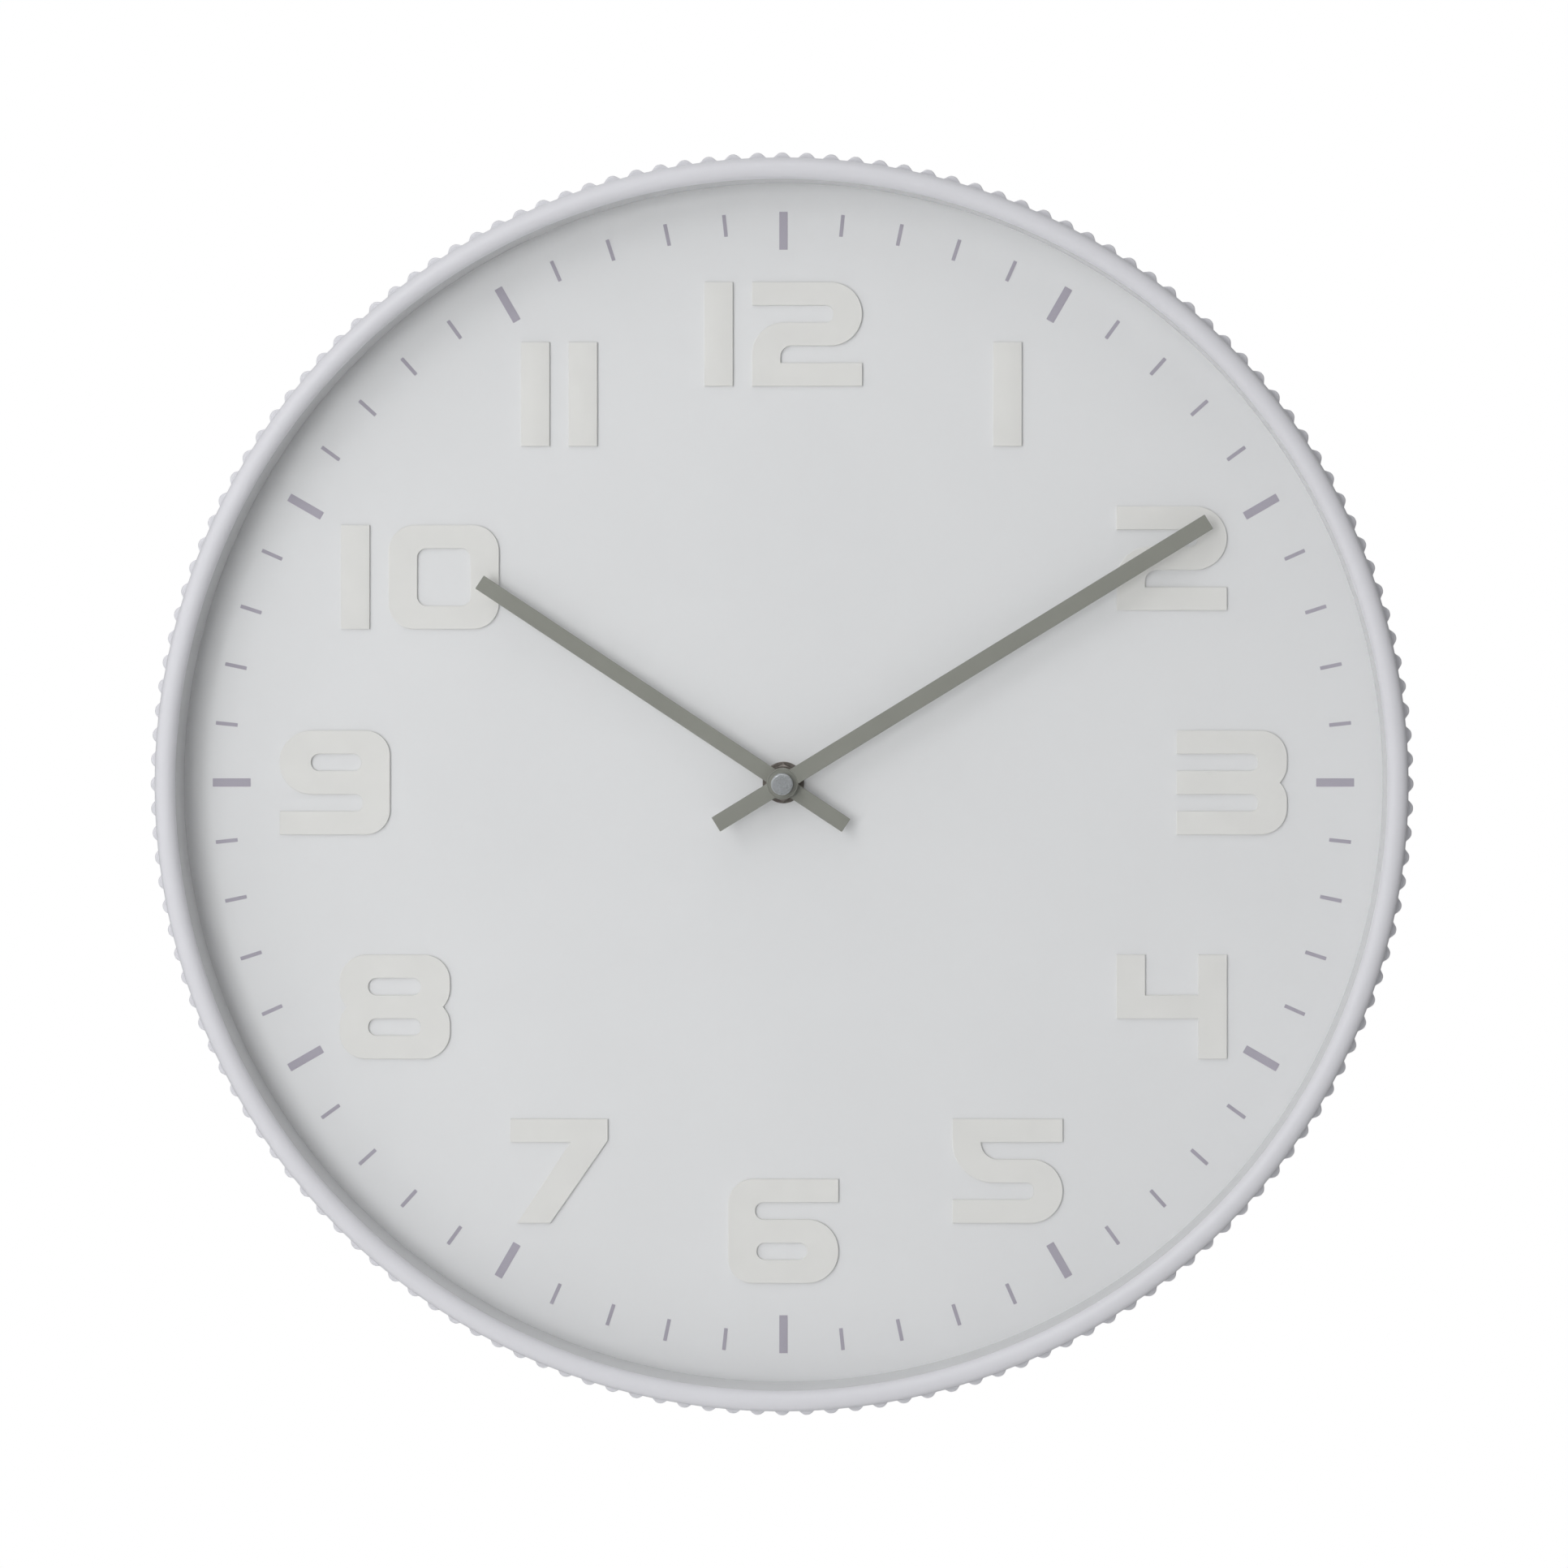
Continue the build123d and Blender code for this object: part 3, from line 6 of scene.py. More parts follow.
import bmesh
import bpy
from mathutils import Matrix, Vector


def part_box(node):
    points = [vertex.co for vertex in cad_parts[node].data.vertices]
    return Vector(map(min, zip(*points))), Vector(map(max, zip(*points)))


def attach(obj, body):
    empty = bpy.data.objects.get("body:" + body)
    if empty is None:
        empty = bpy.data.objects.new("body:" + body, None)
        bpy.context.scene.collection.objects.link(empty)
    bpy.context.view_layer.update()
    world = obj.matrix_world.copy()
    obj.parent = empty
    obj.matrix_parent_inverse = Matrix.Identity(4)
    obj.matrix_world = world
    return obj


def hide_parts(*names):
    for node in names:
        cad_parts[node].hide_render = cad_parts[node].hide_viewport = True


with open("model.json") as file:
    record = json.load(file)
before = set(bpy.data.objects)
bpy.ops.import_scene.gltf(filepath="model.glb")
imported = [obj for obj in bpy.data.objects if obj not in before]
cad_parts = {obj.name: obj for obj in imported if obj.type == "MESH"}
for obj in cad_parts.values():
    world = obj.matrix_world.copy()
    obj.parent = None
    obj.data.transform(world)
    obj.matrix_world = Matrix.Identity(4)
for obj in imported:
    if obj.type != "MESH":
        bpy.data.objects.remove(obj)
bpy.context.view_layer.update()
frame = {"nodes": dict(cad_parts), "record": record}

MM = 0.001
FACE_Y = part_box("dial")[0].y
ARBOR_X = sum(corner.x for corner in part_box("hex_nut")) / 2
ARBOR_Z = sum(corner.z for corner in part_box("hex_nut")) / 2
BODY_OF = {
    node: body
    for body, nodes in frame["record"]["behaviour"]["bodies"].items()
    for node in nodes
}
SLOT_OF = {part["node"]: part["material_slot"] for part in frame["record"]["subparts"]}


def height(y):
    """Height above the dial's face, in millimetres, of a frame coordinate y in metres."""
    return (FACE_Y - y) / MM


def top_of(node):
    """Height of a node's front, in millimetres above the dial."""
    return height(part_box(node)[0].y)


def foot_of(node):
    """Height of a node's rear, in millimetres above the dial."""
    return height(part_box(node)[1].y)


def outer_radius(node):
    """Half a round node's width, in millimetres."""
    low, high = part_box(node)
    return (high.x - low.x) / 2 / MM


def place(x, y, h):
    """A point in the frame, from millimetres right and up of the arbor and above the dial."""
    return Vector((ARBOR_X + x * MM, FACE_Y - h * MM, ARBOR_Z + y * MM))


HUB = place(0, 0, 0)

# Node materials -------------------------------------------------------------------------------------
MATERIALS = {}
NOISE_ROUGHNESS = 0.55


class Shader:
    """One material's node tree, with short ways to add nodes."""

    def __init__(self, name):
        self.material = bpy.data.materials.new(name)
        self.material.use_nodes = True
        self.tree = self.material.node_tree
        self.tree.nodes.clear()
        self.out = self.node("ShaderNodeOutputMaterial")
        self.where = self.node("ShaderNodeTexCoord").outputs["Object"]
        MATERIALS[name] = self.material

    def node(self, kind, **settings):
        made = self.tree.nodes.new(kind)
        for key, value in settings.items():
            setattr(made, key, value)
        return made

    def link(self, source, target):
        self.tree.links.new(source, target)

    def stretched(self, scale):
        """Object coordinates stretched along the axes."""
        mapping = self.node("ShaderNodeMapping")
        mapping.inputs["Scale"].default_value = scale
        self.link(self.where, mapping.inputs["Vector"])
        return mapping.outputs["Vector"]

    def noise(self, scale, detail=4.0, where=None):
        made = self.node("ShaderNodeTexNoise")
        made.inputs["Scale"].default_value = scale
        made.inputs["Detail"].default_value = detail
        made.inputs["Roughness"].default_value = NOISE_ROUGHNESS
        self.link(where or self.where, made.inputs["Vector"])
        return made.outputs["Fac"]

    def spread(self, value, low, high, start=0.3, end=0.7):
        """The value's range from start to end, stretched to low..high."""
        made = self.node("ShaderNodeMapRange")
        for name, number in (("From Min", start), ("From Max", end), ("To Min", low), ("To Max", high)):
            made.inputs[name].default_value = number
        self.link(value, made.inputs["Value"])
        return made.outputs["Result"]

    def blend(self, share, first, second):
        """A colour between two, each a colour or a socket."""
        made = self.node("ShaderNodeMix", data_type="RGBA")
        self.link(share, made.inputs["Factor"])
        for socket, colour in ((made.inputs[6], first), (made.inputs[7], second)):
            if isinstance(colour, tuple):
                socket.default_value = (*colour, 1.0)
            else:
                self.link(colour, socket)
        return made.outputs[2]

    def bump(self, value, distance, strength=1.0):
        made = self.node("ShaderNodeBump")
        made.inputs["Distance"].default_value = distance
        made.inputs["Strength"].default_value = strength
        self.link(value, made.inputs["Height"])
        return made.outputs["Normal"]

    def close(self, colour, rough, normal, metal=0.0, **sockets):
        """The Principled shader that ends the tree."""
        shader = self.node("ShaderNodeBsdfPrincipled")
        shader.inputs["Metallic"].default_value = metal
        self.link(colour, shader.inputs["Base Color"])
        self.link(rough, shader.inputs["Roughness"])
        self.link(normal, shader.inputs["Normal"])
        for name, value in sockets.items():
            shader.inputs[name].default_value = value
        self.link(shader.outputs[0], self.out.inputs["Surface"])
        return self.material


def shade(colour, factor):
    return tuple(min(1.0, channel * factor) for channel in colour)


def moulded(name, colour, rough, tone, patch, grain, relief, metal=0.0, **sockets):
    """Painted, printed or moulded surface: slow tone changes, fine grain and uneven gloss.

    tone is how much the colour varies, patch and grain are the noise scales, relief is the bump in metres.
    """
    s = Shader(name)
    slow = s.noise(patch, 3.0)
    fine = s.noise(grain, 2.0)
    tint = s.blend(s.spread(slow, 0.0, 1.0), shade(colour, 1 - tone), shade(colour, 1 + tone))
    speck = s.blend(s.spread(fine, 0.0, 0.35), tint, shade(colour, 1 - 2 * tone))
    gloss = s.spread(slow, rough * 0.88, rough * 1.12)
    return s.close(speck, gloss, s.bump(fine, relief), metal, **sockets)


def machined(name, colour, rough, lay, tone=0.1, relief=12e-6, fine=1500.0, metal=1.0, stain=0.45):
    """Metal with fine scratches drawn out along the axes where lay is small, and duller patches."""
    s = Shader(name)
    scratches = s.noise(fine, 3.0, s.stretched(lay))
    dull = s.noise(180.0, 5.0)
    tint = s.blend(s.spread(scratches, 0.0, 1.0), shade(colour, 1 - tone), shade(colour, 1 + tone))
    stained = s.blend(s.spread(dull, 0.0, stain, 0.5, 0.75), tint, shade(colour, 0.72))
    gloss = s.spread(dull, rough * 0.75, rough * 1.35)
    return s.close(stained, gloss, s.bump(scratches, relief), metal)


def window(name, tint=(0.995, 0.998, 0.997, 1.0), index=1.5):
    """Clear flat glass: mirrors a little, more at a glancing angle, and lets the rest through."""
    s = Shader(name)
    clear = s.node("ShaderNodeBsdfTransparent")
    clear.inputs["Color"].default_value = tint
    mirror = s.node("ShaderNodeBsdfGlossy")
    wipe = s.noise(9.0, 5.0, s.stretched((1.0, 1.0, 0.25)))
    s.link(s.spread(wipe, 0.012, 0.05), mirror.inputs["Roughness"])
    s.link(s.bump(s.noise(5.0, 1.0), 0.0001, 0.25), mirror.inputs["Normal"])
    share = s.node("ShaderNodeFresnel")
    share.inputs["IOR"].default_value = index
    # only the faces that light meets from outside mirror, so none of it is trapped in the pane
    side = s.node("ShaderNodeNewGeometry")
    outside = s.spread(side.outputs["Backfacing"], 1.0, 0.0, 0.0, 1.0)
    once = s.node("ShaderNodeMath", operation="MULTIPLY")
    s.link(share.outputs[0], once.inputs[0])
    s.link(outside, once.inputs[1])
    mix = s.node("ShaderNodeMixShader")
    s.link(once.outputs[0], mix.inputs[0])
    s.link(clear.outputs[0], mix.inputs[1])
    s.link(mirror.outputs[0], mix.inputs[2])
    s.link(mix.outputs[0], s.out.inputs["Surface"])
    return s.material


def jacket(name, plus_end=0.0022, minus_end=0.0006, band_from=0.70):
    """The dry cell's printed sleeve: a dark body, a copper band at the raised end and bare metal ends."""
    s = Shader(name)
    low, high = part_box("battery")
    length = high.x - low.x
    axis = s.node("ShaderNodeSeparateXYZ")
    s.link(s.where, axis.inputs[0])
    along = s.spread(axis.outputs["X"], 0.0, 1.0, low.x, high.x)
    ramp = s.node("ShaderNodeValToRGB")
    ramp.color_ramp.interpolation = "CONSTANT"
    steel, dark, copper = (0.62, 0.62, 0.60, 1), (0.018, 0.02, 0.026, 1), (0.45, 0.19, 0.07, 1)
    ramp.color_ramp.elements[0].color = steel
    ramp.color_ramp.elements[1].color = steel
    ramp.color_ramp.elements[1].position = 1 - plus_end / length
    for position, colour in ((minus_end / length, dark), (band_from, copper)):
        ramp.color_ramp.elements.new(position).color = colour
    s.link(along, ramp.inputs[0])
    scuff = s.noise(900.0, 5.0)
    tint = s.blend(s.spread(scuff, 0.0, 0.12, 0.55, 0.8), ramp.outputs[0], (0.5, 0.5, 0.5))
    gloss = s.spread(s.noise(120.0), 0.24, 0.38)
    return s.close(tint, gloss, s.bump(scuff, 10e-6), metal=0.75)


SPUN = (1.0, 0.04, 1.0)
ROLLED = (0.05, 1.0, 1.0)
DRAWN = (1.0, 1.0, 0.05)
WOUND = (1.0, 0.03, 0.03)

# one material for each slot of the record:
# colour, roughness, then tone, patch, grain and relief of a moulded one, or lay and tone of a machined one
moulded("rim_paint", (0.635, 0.635, 0.665), 0.42, 0.012, 22.0, 1500.0, 12e-6)
moulded("wall_paint", (0.63, 0.63, 0.64), 0.09, 0.012, 22.0, 1500.0, 2e-6, IOR=1.6)
window("clear_glass")
moulded("dial_print", (0.731, 0.731, 0.741), 0.62, 0.010, 14.0, 2200.0, 10e-6)
moulded("mark_ink", (0.40, 0.375, 0.435), 0.6, 0.03, 60.0, 3500.0, 10e-6)
moulded("numeral_ivory", (0.727, 0.718, 0.70), 0.66, 0.018, 90.0, 2800.0, 15e-6)
moulded("hand_lacquer", (0.255, 0.257, 0.229), 0.45, 0.03, 60.0, 2600.0, 10e-6)
machined("cap_metal", (0.44, 0.455, 0.47), 0.26, SPUN, 0.06, metal=0.4, stain=0.06)
machined("dark_brass", (0.23, 0.205, 0.185), 0.27, SPUN, 0.2, metal=0.45)
machined("bright_brass", (0.72, 0.52, 0.24), 0.3, SPUN)
moulded("black_rubber", (0.02, 0.02, 0.021), 0.85, 0.15, 60.0, 1800.0, 30e-6)
moulded("movement_black", (0.022, 0.022, 0.025), 0.55, 0.12, 60.0, 1400.0, 60e-6)
moulded("gear_white", (0.78, 0.775, 0.73), 0.4, 0.03, 120.0, 2000.0, 10e-6)
moulded("magnet_grey", (0.10, 0.10, 0.11), 0.5, 0.2, 600.0, 4000.0, 20e-6, metal=0.6)
machined("stator_steel", (0.46, 0.46, 0.47), 0.35, ROLLED)
machined("copper_wire", (0.60, 0.24, 0.10), 0.3, WOUND, 0.25, relief=50e-6, fine=2500.0)
moulded("bobbin_cream", (0.72, 0.66, 0.54), 0.5, 0.04, 200.0, 2000.0, 10e-6)
moulded("board_green", (0.03, 0.16, 0.06), 0.35, 0.2, 500.0, 1800.0, 30e-6)
moulded("chip_black", (0.015, 0.015, 0.015), 0.25, 0.2, 300.0, 900.0, 30e-6)
machined("crystal_can", (0.72, 0.72, 0.72), 0.2, ROLLED, 0.05)
jacket("battery_jacket")
machined("contact_nickel", (0.62, 0.61, 0.57), 0.3, DRAWN, 0.08)
moulded("cover_plastic", (0.60, 0.60, 0.615), 0.58, 0.03, 18.0, 1100.0, 60e-6)
machined("hanger_zinc", (0.50, 0.50, 0.51), 0.48, DRAWN, 0.12)
machined("screw_zinc", (0.52, 0.52, 0.53), 0.32, SPUN)
moulded("bumper_rubber", (0.28, 0.28, 0.29), 0.8, 0.08, 60.0, 1600.0, 40e-6)

# Mesh pieces ----------------------------------------------------------------------------------------
SHARP = 35.0


def finish_piece(name, bm, node, sharp=SHARP):
    """Puts a finished mesh in the scene in a CAD node's place, with that node's body, slot and material."""
    bmesh.ops.recalc_face_normals(bm, faces=bm.faces)
    # broken edges and turned faces are quads or triangles; larger faces are flat and stay so
    for face in bm.faces:
        face.smooth = len(face.verts) <= 4
    for edge in bm.edges:
        if len(edge.link_faces) == 2:
            edge.smooth = edge.calc_face_angle(0.0) < math.radians(sharp)
    mesh = bpy.data.meshes.new(name)
    bm.to_mesh(mesh)
    bm.free()
    mesh.materials.append(MATERIALS[SLOT_OF[node]])
    piece = bpy.data.objects.new(name, mesh)
    bpy.context.scene.collection.objects.link(piece)
    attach(piece, BODY_OF[node])
    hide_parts(node)


def arc(cx, cy, radius, start, end, steps):
    """Points on an arc of a profile, in degrees."""
    turns = [math.radians(start + (end - start) * i / steps) for i in range(steps + 1)]
    return [(cx + radius * math.cos(t), cy + radius * math.sin(t)) for t in turns]


def turned(profile, segments, swell=None):
    """A closed profile of (radius, height, ...) swept round the arbor; swell adds to the radius by angle."""
    bm = bmesh.new()
    rings = []
    for i in range(segments):
        angle = 2 * math.pi * i / segments
        cos, sin = math.cos(angle), math.sin(angle)
        ring = []
        for point in profile:
            radius = point[0] + (swell(angle, point) if swell else 0.0)
            ring.append(bm.verts.new(place(radius * cos, radius * sin, point[1])))
        rings.append(ring)
    count = len(profile)
    for i in range(segments):
        here, there = rings[i], rings[(i + 1) % segments]
        for k in range(count):
            n = (k + 1) % count
            bm.faces.new((here[k], here[n], there[n], there[k]))
    return bm


# the rim: a rolled front edge with a lip over the glass, and rounded ribs round the side
GLASS_TOP = top_of("glass")
RIM_TOP = top_of("bezel")
RIM_REAR = foot_of("bezel")
INSERT = outer_radius("glass")
SEAT = INSERT + 0.3
CROWN = 194.0
LIP_ARC = 3.2
LIP_FOOT = math.degrees(math.asin((GLASS_TOP - RIM_TOP + LIP_ARC) / LIP_ARC))
ROLL = 197.7
ROLL_END = 12.5
BEAD = 0.22
BEAD_OUT = ROLL + 0.28
BEAD_LEVEL = 12.05
RIB_COUNT = 160
RIB_STEPS = 14
RIB_DEPTH = 1.9
RIB_FRONT = 11.0
RIB_ROUND = 0.75
RIB_REAR_ROUND = 0.6
RIB_WIDTH = 0.43
RIB_SHAPE = 1.35
VALLEY = outer_radius("bezel") - RIB_DEPTH
RIM_SHARP = 50.0


def rib_swell(angle, point):
    """How far a rib stands out at this angle, for a profile point that carries a share of it."""
    share = point[2] if len(point) > 2 else 0.0
    phase = (angle * RIB_COUNT / (2 * math.pi) + 0.5) % 1.0 - 0.5
    reach = abs(phase) / RIB_WIDTH
    if reach >= 1.0:
        return 0.0
    return share * 0.5 * (1 + math.cos(math.pi * reach ** RIB_SHAPE))


rim_profile = [(SEAT, GLASS_TOP)]
rim_profile += arc(CROWN, RIM_TOP - LIP_ARC, LIP_ARC, 180 - LIP_FOOT, 90, 12)
rim_profile += arc(CROWN, RIM_TOP - ROLL + CROWN, ROLL - CROWN, 90, 0, 14)[1:]
rim_profile += [(ROLL, ROLL_END), (ROLL + 0.03, ROLL_END - 0.2)]
rim_profile += arc(BEAD_OUT, BEAD_LEVEL, BEAD, 130, -60, 5)
rim_profile += [(ROLL + 0.3, RIB_FRONT + 0.55), (VALLEY, RIB_FRONT + 0.25), (VALLEY, RIB_FRONT + 0.02)]
# from here each point carries its share of the rib: a flat front end, then its rounded shoulder
flat_share = RIB_DEPTH - RIB_ROUND
for step in (0.25, 0.6, 1.0):
    rim_profile.append((VALLEY, RIB_FRONT, flat_share * step))
for turn in (22.5, 45.0, 67.5, 90.0):
    t = math.radians(turn)
    level = RIB_FRONT - RIB_ROUND * (1 - math.cos(t))
    rim_profile.append((VALLEY, level, flat_share + RIB_ROUND * math.sin(t)))
for level in (7.0, 2.0, -4.0, -10.0, RIM_REAR + RIB_REAR_ROUND):
    rim_profile.append((VALLEY, level, RIB_DEPTH))
for turn in (30.0, 60.0, 90.0):
    t = math.radians(turn)
    level = RIM_REAR + RIB_REAR_ROUND * (1 - math.sin(t))
    rim_profile.append((VALLEY, level, RIB_DEPTH - RIB_REAR_ROUND * (1 - math.cos(t))))
rim_profile += [(SEAT, RIM_REAR)]
finish_piece("rim_ribbed", turned(rim_profile, RIB_COUNT * RIB_STEPS, rib_swell), "bezel", RIM_SHARP)

# glass: a turned pane with ground edges, whose small middle hole is closed by two flat faces
REAR = foot_of("glass")
PANE_SEGMENTS = 360
PANE_EDGE = 0.2
PANE_HOLE = 0.4
PANE_RING = 100.0
pane = [(PANE_HOLE, REAR), (PANE_HOLE, GLASS_TOP), (PANE_RING, GLASS_TOP)]
pane += [(INSERT - PANE_EDGE, GLASS_TOP), (INSERT, GLASS_TOP - PANE_EDGE)]
pane += [(INSERT, REAR + PANE_EDGE), (INSERT - PANE_EDGE, REAR), (PANE_RING, REAR)]


def in_middle(vert):
    """Whether a vertex is on the pane's small middle hole."""
    return math.hypot(vert.co.x - ARBOR_X, vert.co.z - ARBOR_Z) < (PANE_HOLE + 0.1) * MM


def disc_face(bm, level):
    """Closes the pane's middle hole at one height."""
    ring = [v for v in bm.verts if abs(height(v.co.y) - level) < 1e-4 and in_middle(v)]
    ring.sort(key=lambda v: math.atan2(v.co.z - ARBOR_Z, v.co.x - ARBOR_X))
    bm.faces.new(ring)


glass_mesh = turned(pane, PANE_SEGMENTS)
inner = [f for f in glass_mesh.faces if all(in_middle(v) for v in f.verts)]
bmesh.ops.delete(glass_mesh, geom=inner, context="FACES_ONLY")
disc_face(glass_mesh, GLASS_TOP)
disc_face(glass_mesh, REAR)
finish_piece("glass_pane", glass_mesh, "glass")

# inner wall and dial
WALL_INNER = 191.4
WALL_OUTER = outer_radius("spacer_ring")
inner_wall = [(WALL_INNER, 0.0), (WALL_INNER, 4.0), (WALL_INNER, 9.0), (WALL_INNER, REAR - 0.1)]
inner_wall += [(WALL_INNER + 0.1, REAR), (WALL_OUTER, REAR), (WALL_OUTER, 0.0)]
finish_piece("inner_wall", turned(inner_wall, 720), "spacer_ring")

BORE = 4.1
DIAL_REAR = foot_of("dial")
DIAL_R = outer_radius("dial")
plate = [(BORE, DIAL_REAR), (BORE, 0.0), (60.0, 0.0), (130.0, 0.0), (DIAL_R, 0.0), (DIAL_R, DIAL_REAR)]
finish_piece("dial_plate", turned(plate, 360), "dial")


def refined(name, node, edge, steps=2, sharp=SHARP, keep_rear=None):
    """A CAD node's own shape with whole faces in place of triangles, and its edges broken.

    With keep_rear, only the edges above that height are broken.
    """
    bm = bmesh.new()
    bm.from_mesh(frame["nodes"][node].data)
    bmesh.ops.remove_doubles(bm, verts=bm.verts, dist=2e-6)
    bmesh.ops.dissolve_limit(bm, angle_limit=math.radians(0.5), verts=bm.verts, edges=bm.edges)
    limit = math.radians(sharp)
    edges = [e for e in bm.edges if len(e.link_faces) == 2 and e.calc_face_angle(0.0) > limit]
    if keep_rear is not None:
        edges = [e for e in edges if all(height(v.co.y) > keep_rear for v in e.verts)]
    bmesh.ops.bevel(
        bm, geom=edges, offset=edge * MM, offset_type="OFFSET", segments=steps, profile=0.5,
        affect="EDGES", clamp_overlap=True, miter_outer="ARC",
    )
    finish_piece(name, bm, node)


NUMERAL_MIDDLE = 0.5
HOUR_TUBE_TOP = 6.4
for hour in range(1, 13):
    refined(f"numeral_{hour}_raised", f"numeral_{hour}", 0.14, 3, keep_rear=NUMERAL_MIDDLE)
refined("hour_hand_bar", "hour_hand", 0.16, 3, keep_rear=HOUR_TUBE_TOP)
refined("minute_hand_bar", "minute_hand", 0.16, 3)
refined("nut_bevelled", "hex_nut", 0.2, 3)

# a low bead round the minute hand's boss
HAND_TOP = top_of("minute_hand")
HAND_BEAD = 0.2
HAND_BEAD_IN = 0.21
HAND_BEAD_FOOT = HAND_TOP - 0.1
BOSS = 4.94
bead = [(BOSS - 2 * HAND_BEAD_IN, HAND_BEAD_FOOT)]
bead += arc(BOSS - HAND_BEAD_IN, HAND_TOP, HAND_BEAD, 180, 0, 8) + [(BOSS, HAND_BEAD_FOOT)]
finish_piece("minute_boss_bead", turned(bead, 128), "minute_hand")

# the cap nut, turned with a rounded shoulder
CAP_TOP = top_of("cap_nut")
CAP_FOOT = foot_of("cap_nut")
CAP_R = outer_radius("cap_nut")
CAP_ROUND = 0.7
CAP_BEVEL = 0.12
CAP_BORE = 1.4
CAP_FLOOR = CAP_TOP - 1.2
AXIS = 0.02
cap = [(CAP_BORE, CAP_FOOT), (CAP_R - CAP_BEVEL, CAP_FOOT)]
cap += [(CAP_R, CAP_FOOT + CAP_BEVEL), (CAP_R, CAP_TOP - 1.6)]
cap += arc(CAP_R - CAP_ROUND, CAP_TOP - CAP_ROUND, CAP_ROUND, 0, 90, 8)
cap += [(1.2, CAP_TOP), (AXIS, CAP_TOP), (AXIS, CAP_FLOOR), (CAP_BORE, CAP_FLOOR)]
finish_piece("cap_turned", turned(cap, 96), "cap_nut")

WASHER_TOP = top_of("brass_washer")
WASHER_R = outer_radius("brass_washer")
WASHER_EDGE = 0.2
WASHER_BEVEL = 0.08
ring = [(BORE, 0.0), (BORE, WASHER_TOP - WASHER_BEVEL), (BORE + WASHER_BEVEL, WASHER_TOP)]
ring += arc(WASHER_R - WASHER_EDGE, WASHER_TOP - WASHER_EDGE, WASHER_EDGE, 90, 0, 4) + [(WASHER_R, 0.0)]
finish_piece("washer_turned", turned(ring, 96), "brass_washer")

# the back: the same shapes with broken edges
refined("cover_moulded", "back_cover", 0.25)
refined("hanger_stamped", "hanger_plate", 0.12)
refined("bumpers_moulded", "wall_bumpers", 0.3, 3, sharp=60.0)
refined("case_screws_driven", "case_screws", 0.08, 1)
refined("hanger_screws_driven", "hanger_screws", 0.08, 1)
refined("case_box_moulded", "movement_case", 0.18)
refined("case_lid_moulded", "movement_lid", 0.15)
refined("knob_grooved", "setting_knob", 0.06, 1)
refined("cell", "battery", 0.3, 3)

# every other CAD node keeps its mesh and gets its finish
for node, shown in frame["nodes"].items():
    if shown.hide_render:
        continue
    shown.data.materials.clear()
    shown.data.materials.append(MATERIALS[SLOT_OF[node]])

# Light, floor and camera ----------------------------------------------------------------------------
scene = bpy.context.scene
scene.view_settings.view_transform = "Standard"
scene.view_settings.look = "None"

# sky light mostly from above and a little more from the left, with only a faint glow from every other side
SKY_LOBES = (((0.0, 0.0, 1.0), 0.69), ((-1.0, 0.0, 0.0), 0.15))
SKY_LEAST = 0.02
SKY_COLOUR = (0.985, 0.99, 1.0, 1.0)
world = bpy.data.worlds.new("studio")
scene.world = world
world.use_nodes = True
sky = world.node_tree
sky.nodes.clear()
sky_out = sky.nodes.new("ShaderNodeOutputWorld")
sky_back = sky.nodes.new("ShaderNodeBackground")
sky_where = sky.nodes.new("ShaderNodeTexCoord")
total = sky.nodes.new("ShaderNodeMath")
for lobe, (towards, power) in enumerate(SKY_LOBES):
    tilt = sky.nodes.new("ShaderNodeVectorMath")
    tilt.operation = "DOT_PRODUCT"
    tilt.inputs[1].default_value = towards
    lift = sky.nodes.new("ShaderNodeMapRange")
    for name, number in (("From Min", 0.0), ("From Max", 1.0), ("To Min", SKY_LEAST), ("To Max", power)):
        lift.inputs[name].default_value = number
    sky.links.new(sky_where.outputs["Generated"], tilt.inputs[0])
    sky.links.new(tilt.outputs["Value"], lift.inputs["Value"])
    sky.links.new(lift.outputs["Result"], total.inputs[lobe])
sky.links.new(total.outputs[0], sky_back.inputs["Strength"])
sky_back.inputs["Color"].default_value = SKY_COLOUR
sky.links.new(sky_back.outputs[0], sky_out.inputs["Surface"])


def softbox(name, off_axis, around, distance, side, power, mirrored):
    """A square lamp aimed at the hub.

    off_axis is its angle from the clock's axis and around its angle round that axis from the right, in degrees;
    distance and side are in metres, power is in watts, and mirrored says whether gloss shows the lamp.
    """
    tilt, turn = math.radians(off_axis), math.radians(around)
    towards = Vector((math.sin(tilt) * math.cos(turn), -math.cos(tilt), math.sin(tilt) * math.sin(turn)))
    lamp = bpy.data.lights.new(name, "AREA")
    lamp.shape = "SQUARE"
    lamp.size = side
    lamp.energy = power
    holder = bpy.data.objects.new(name, lamp)
    holder.location = HUB + towards * distance
    holder.rotation_euler = (-towards).to_track_quat("-Z", "Y").to_euler()
    holder.visible_camera = False
    holder.visible_glossy = mirrored
    scene.collection.objects.link(holder)


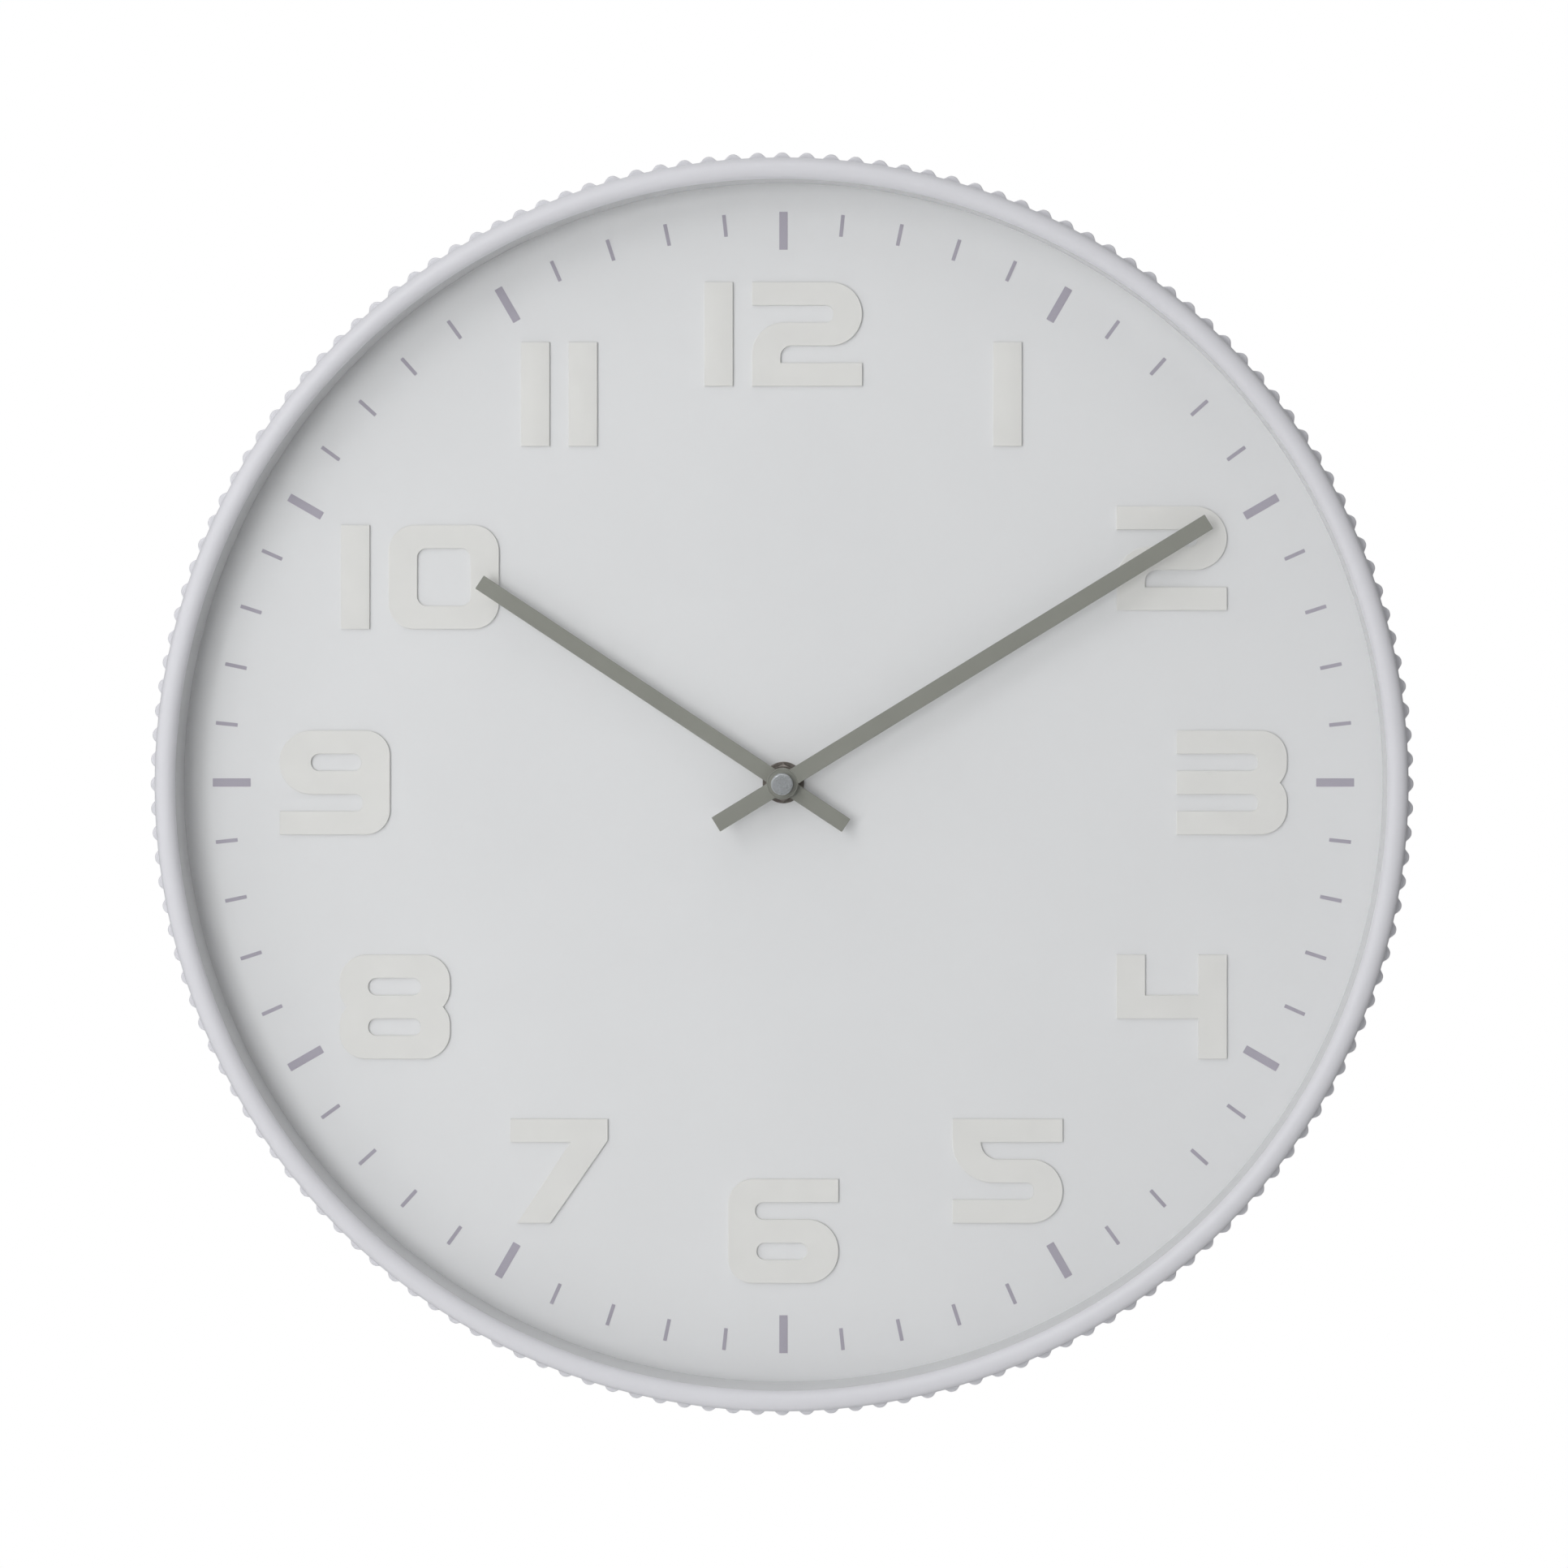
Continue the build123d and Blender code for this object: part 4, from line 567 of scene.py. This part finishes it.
softbox("key", 20, 175, 2.2, 0.9, 18.0, mirrored=False)
softbox("high_left", 40, 135, 2.2, 0.9, 8.0, mirrored=True)
softbox("low_left", 65, 170, 2.2, 0.9, 2.8, mirrored=True)
softbox("top", 60, 90, 2.2, 0.9, 3.6, mirrored=True)
softbox("rear", 140, 100, 2.2, 1.1, 15.0, mirrored=False)


def stage_piece(name, bm, material):
    """Puts a mesh of the studio, which isn't part of the clock, in the scene."""
    mesh = bpy.data.meshes.new(name)
    bm.to_mesh(mesh)
    bm.free()
    mesh.materials.append(material)
    made = bpy.data.objects.new(name, mesh)
    scene.collection.objects.link(made)
    return made


FLOOR_Z = ARBOR_Z - 0.50
FLOOR_REACH = 3
FLOOR_BACK = 0.55
FLOOR_COLOUR = (0.86, 0.86, 0.86)
bm = bmesh.new()
corners = ((-1, -FLOOR_REACH), (1, -FLOOR_REACH), (1, FLOOR_BACK), (-1, FLOOR_BACK))
bm.faces.new([bm.verts.new((side * FLOOR_REACH, y, FLOOR_Z)) for side, y in corners])
floor = stage_piece("floor", bm, moulded("floor_paper", FLOOR_COLOUR, 0.8, 0.01, 3.0, 400.0, 50e-6))
# the pane would mirror the floor's front edge as a line across the dial
floor.visible_glossy = False

# a white surround that only the camera sees, so that it adds no light
bm = bmesh.new()
bmesh.ops.create_icosphere(bm, subdivisions=4, radius=9.0)
for vert in bm.verts:
    vert.co += HUB
white = Shader("surround_white")
glow = white.node("ShaderNodeEmission")
glow.inputs["Strength"].default_value = 1.0
white.link(glow.outputs[0], white.out.inputs["Surface"])
surround = stage_piece("surround", bm, white.material)
for rays in ("diffuse", "glossy", "transmission", "volume_scatter", "shadow"):
    setattr(surround, "visible_" + rays, False)

# the photograph's view: level, from a little right of the hub and above it, with the frame shifted to centre
# the clock
lens = bpy.data.cameras.new("camera")
lens.lens = 86.24
lens.sensor_width = 36.0
lens.shift_x = -0.09546
lens.shift_y = -0.10478
camera = bpy.data.objects.new("camera", lens)
camera.location = place(48.0, 52.0, 1200.0)
camera.rotation_euler = (math.radians(90), 0, 0)
scene.collection.objects.link(camera)
scene.camera = camera
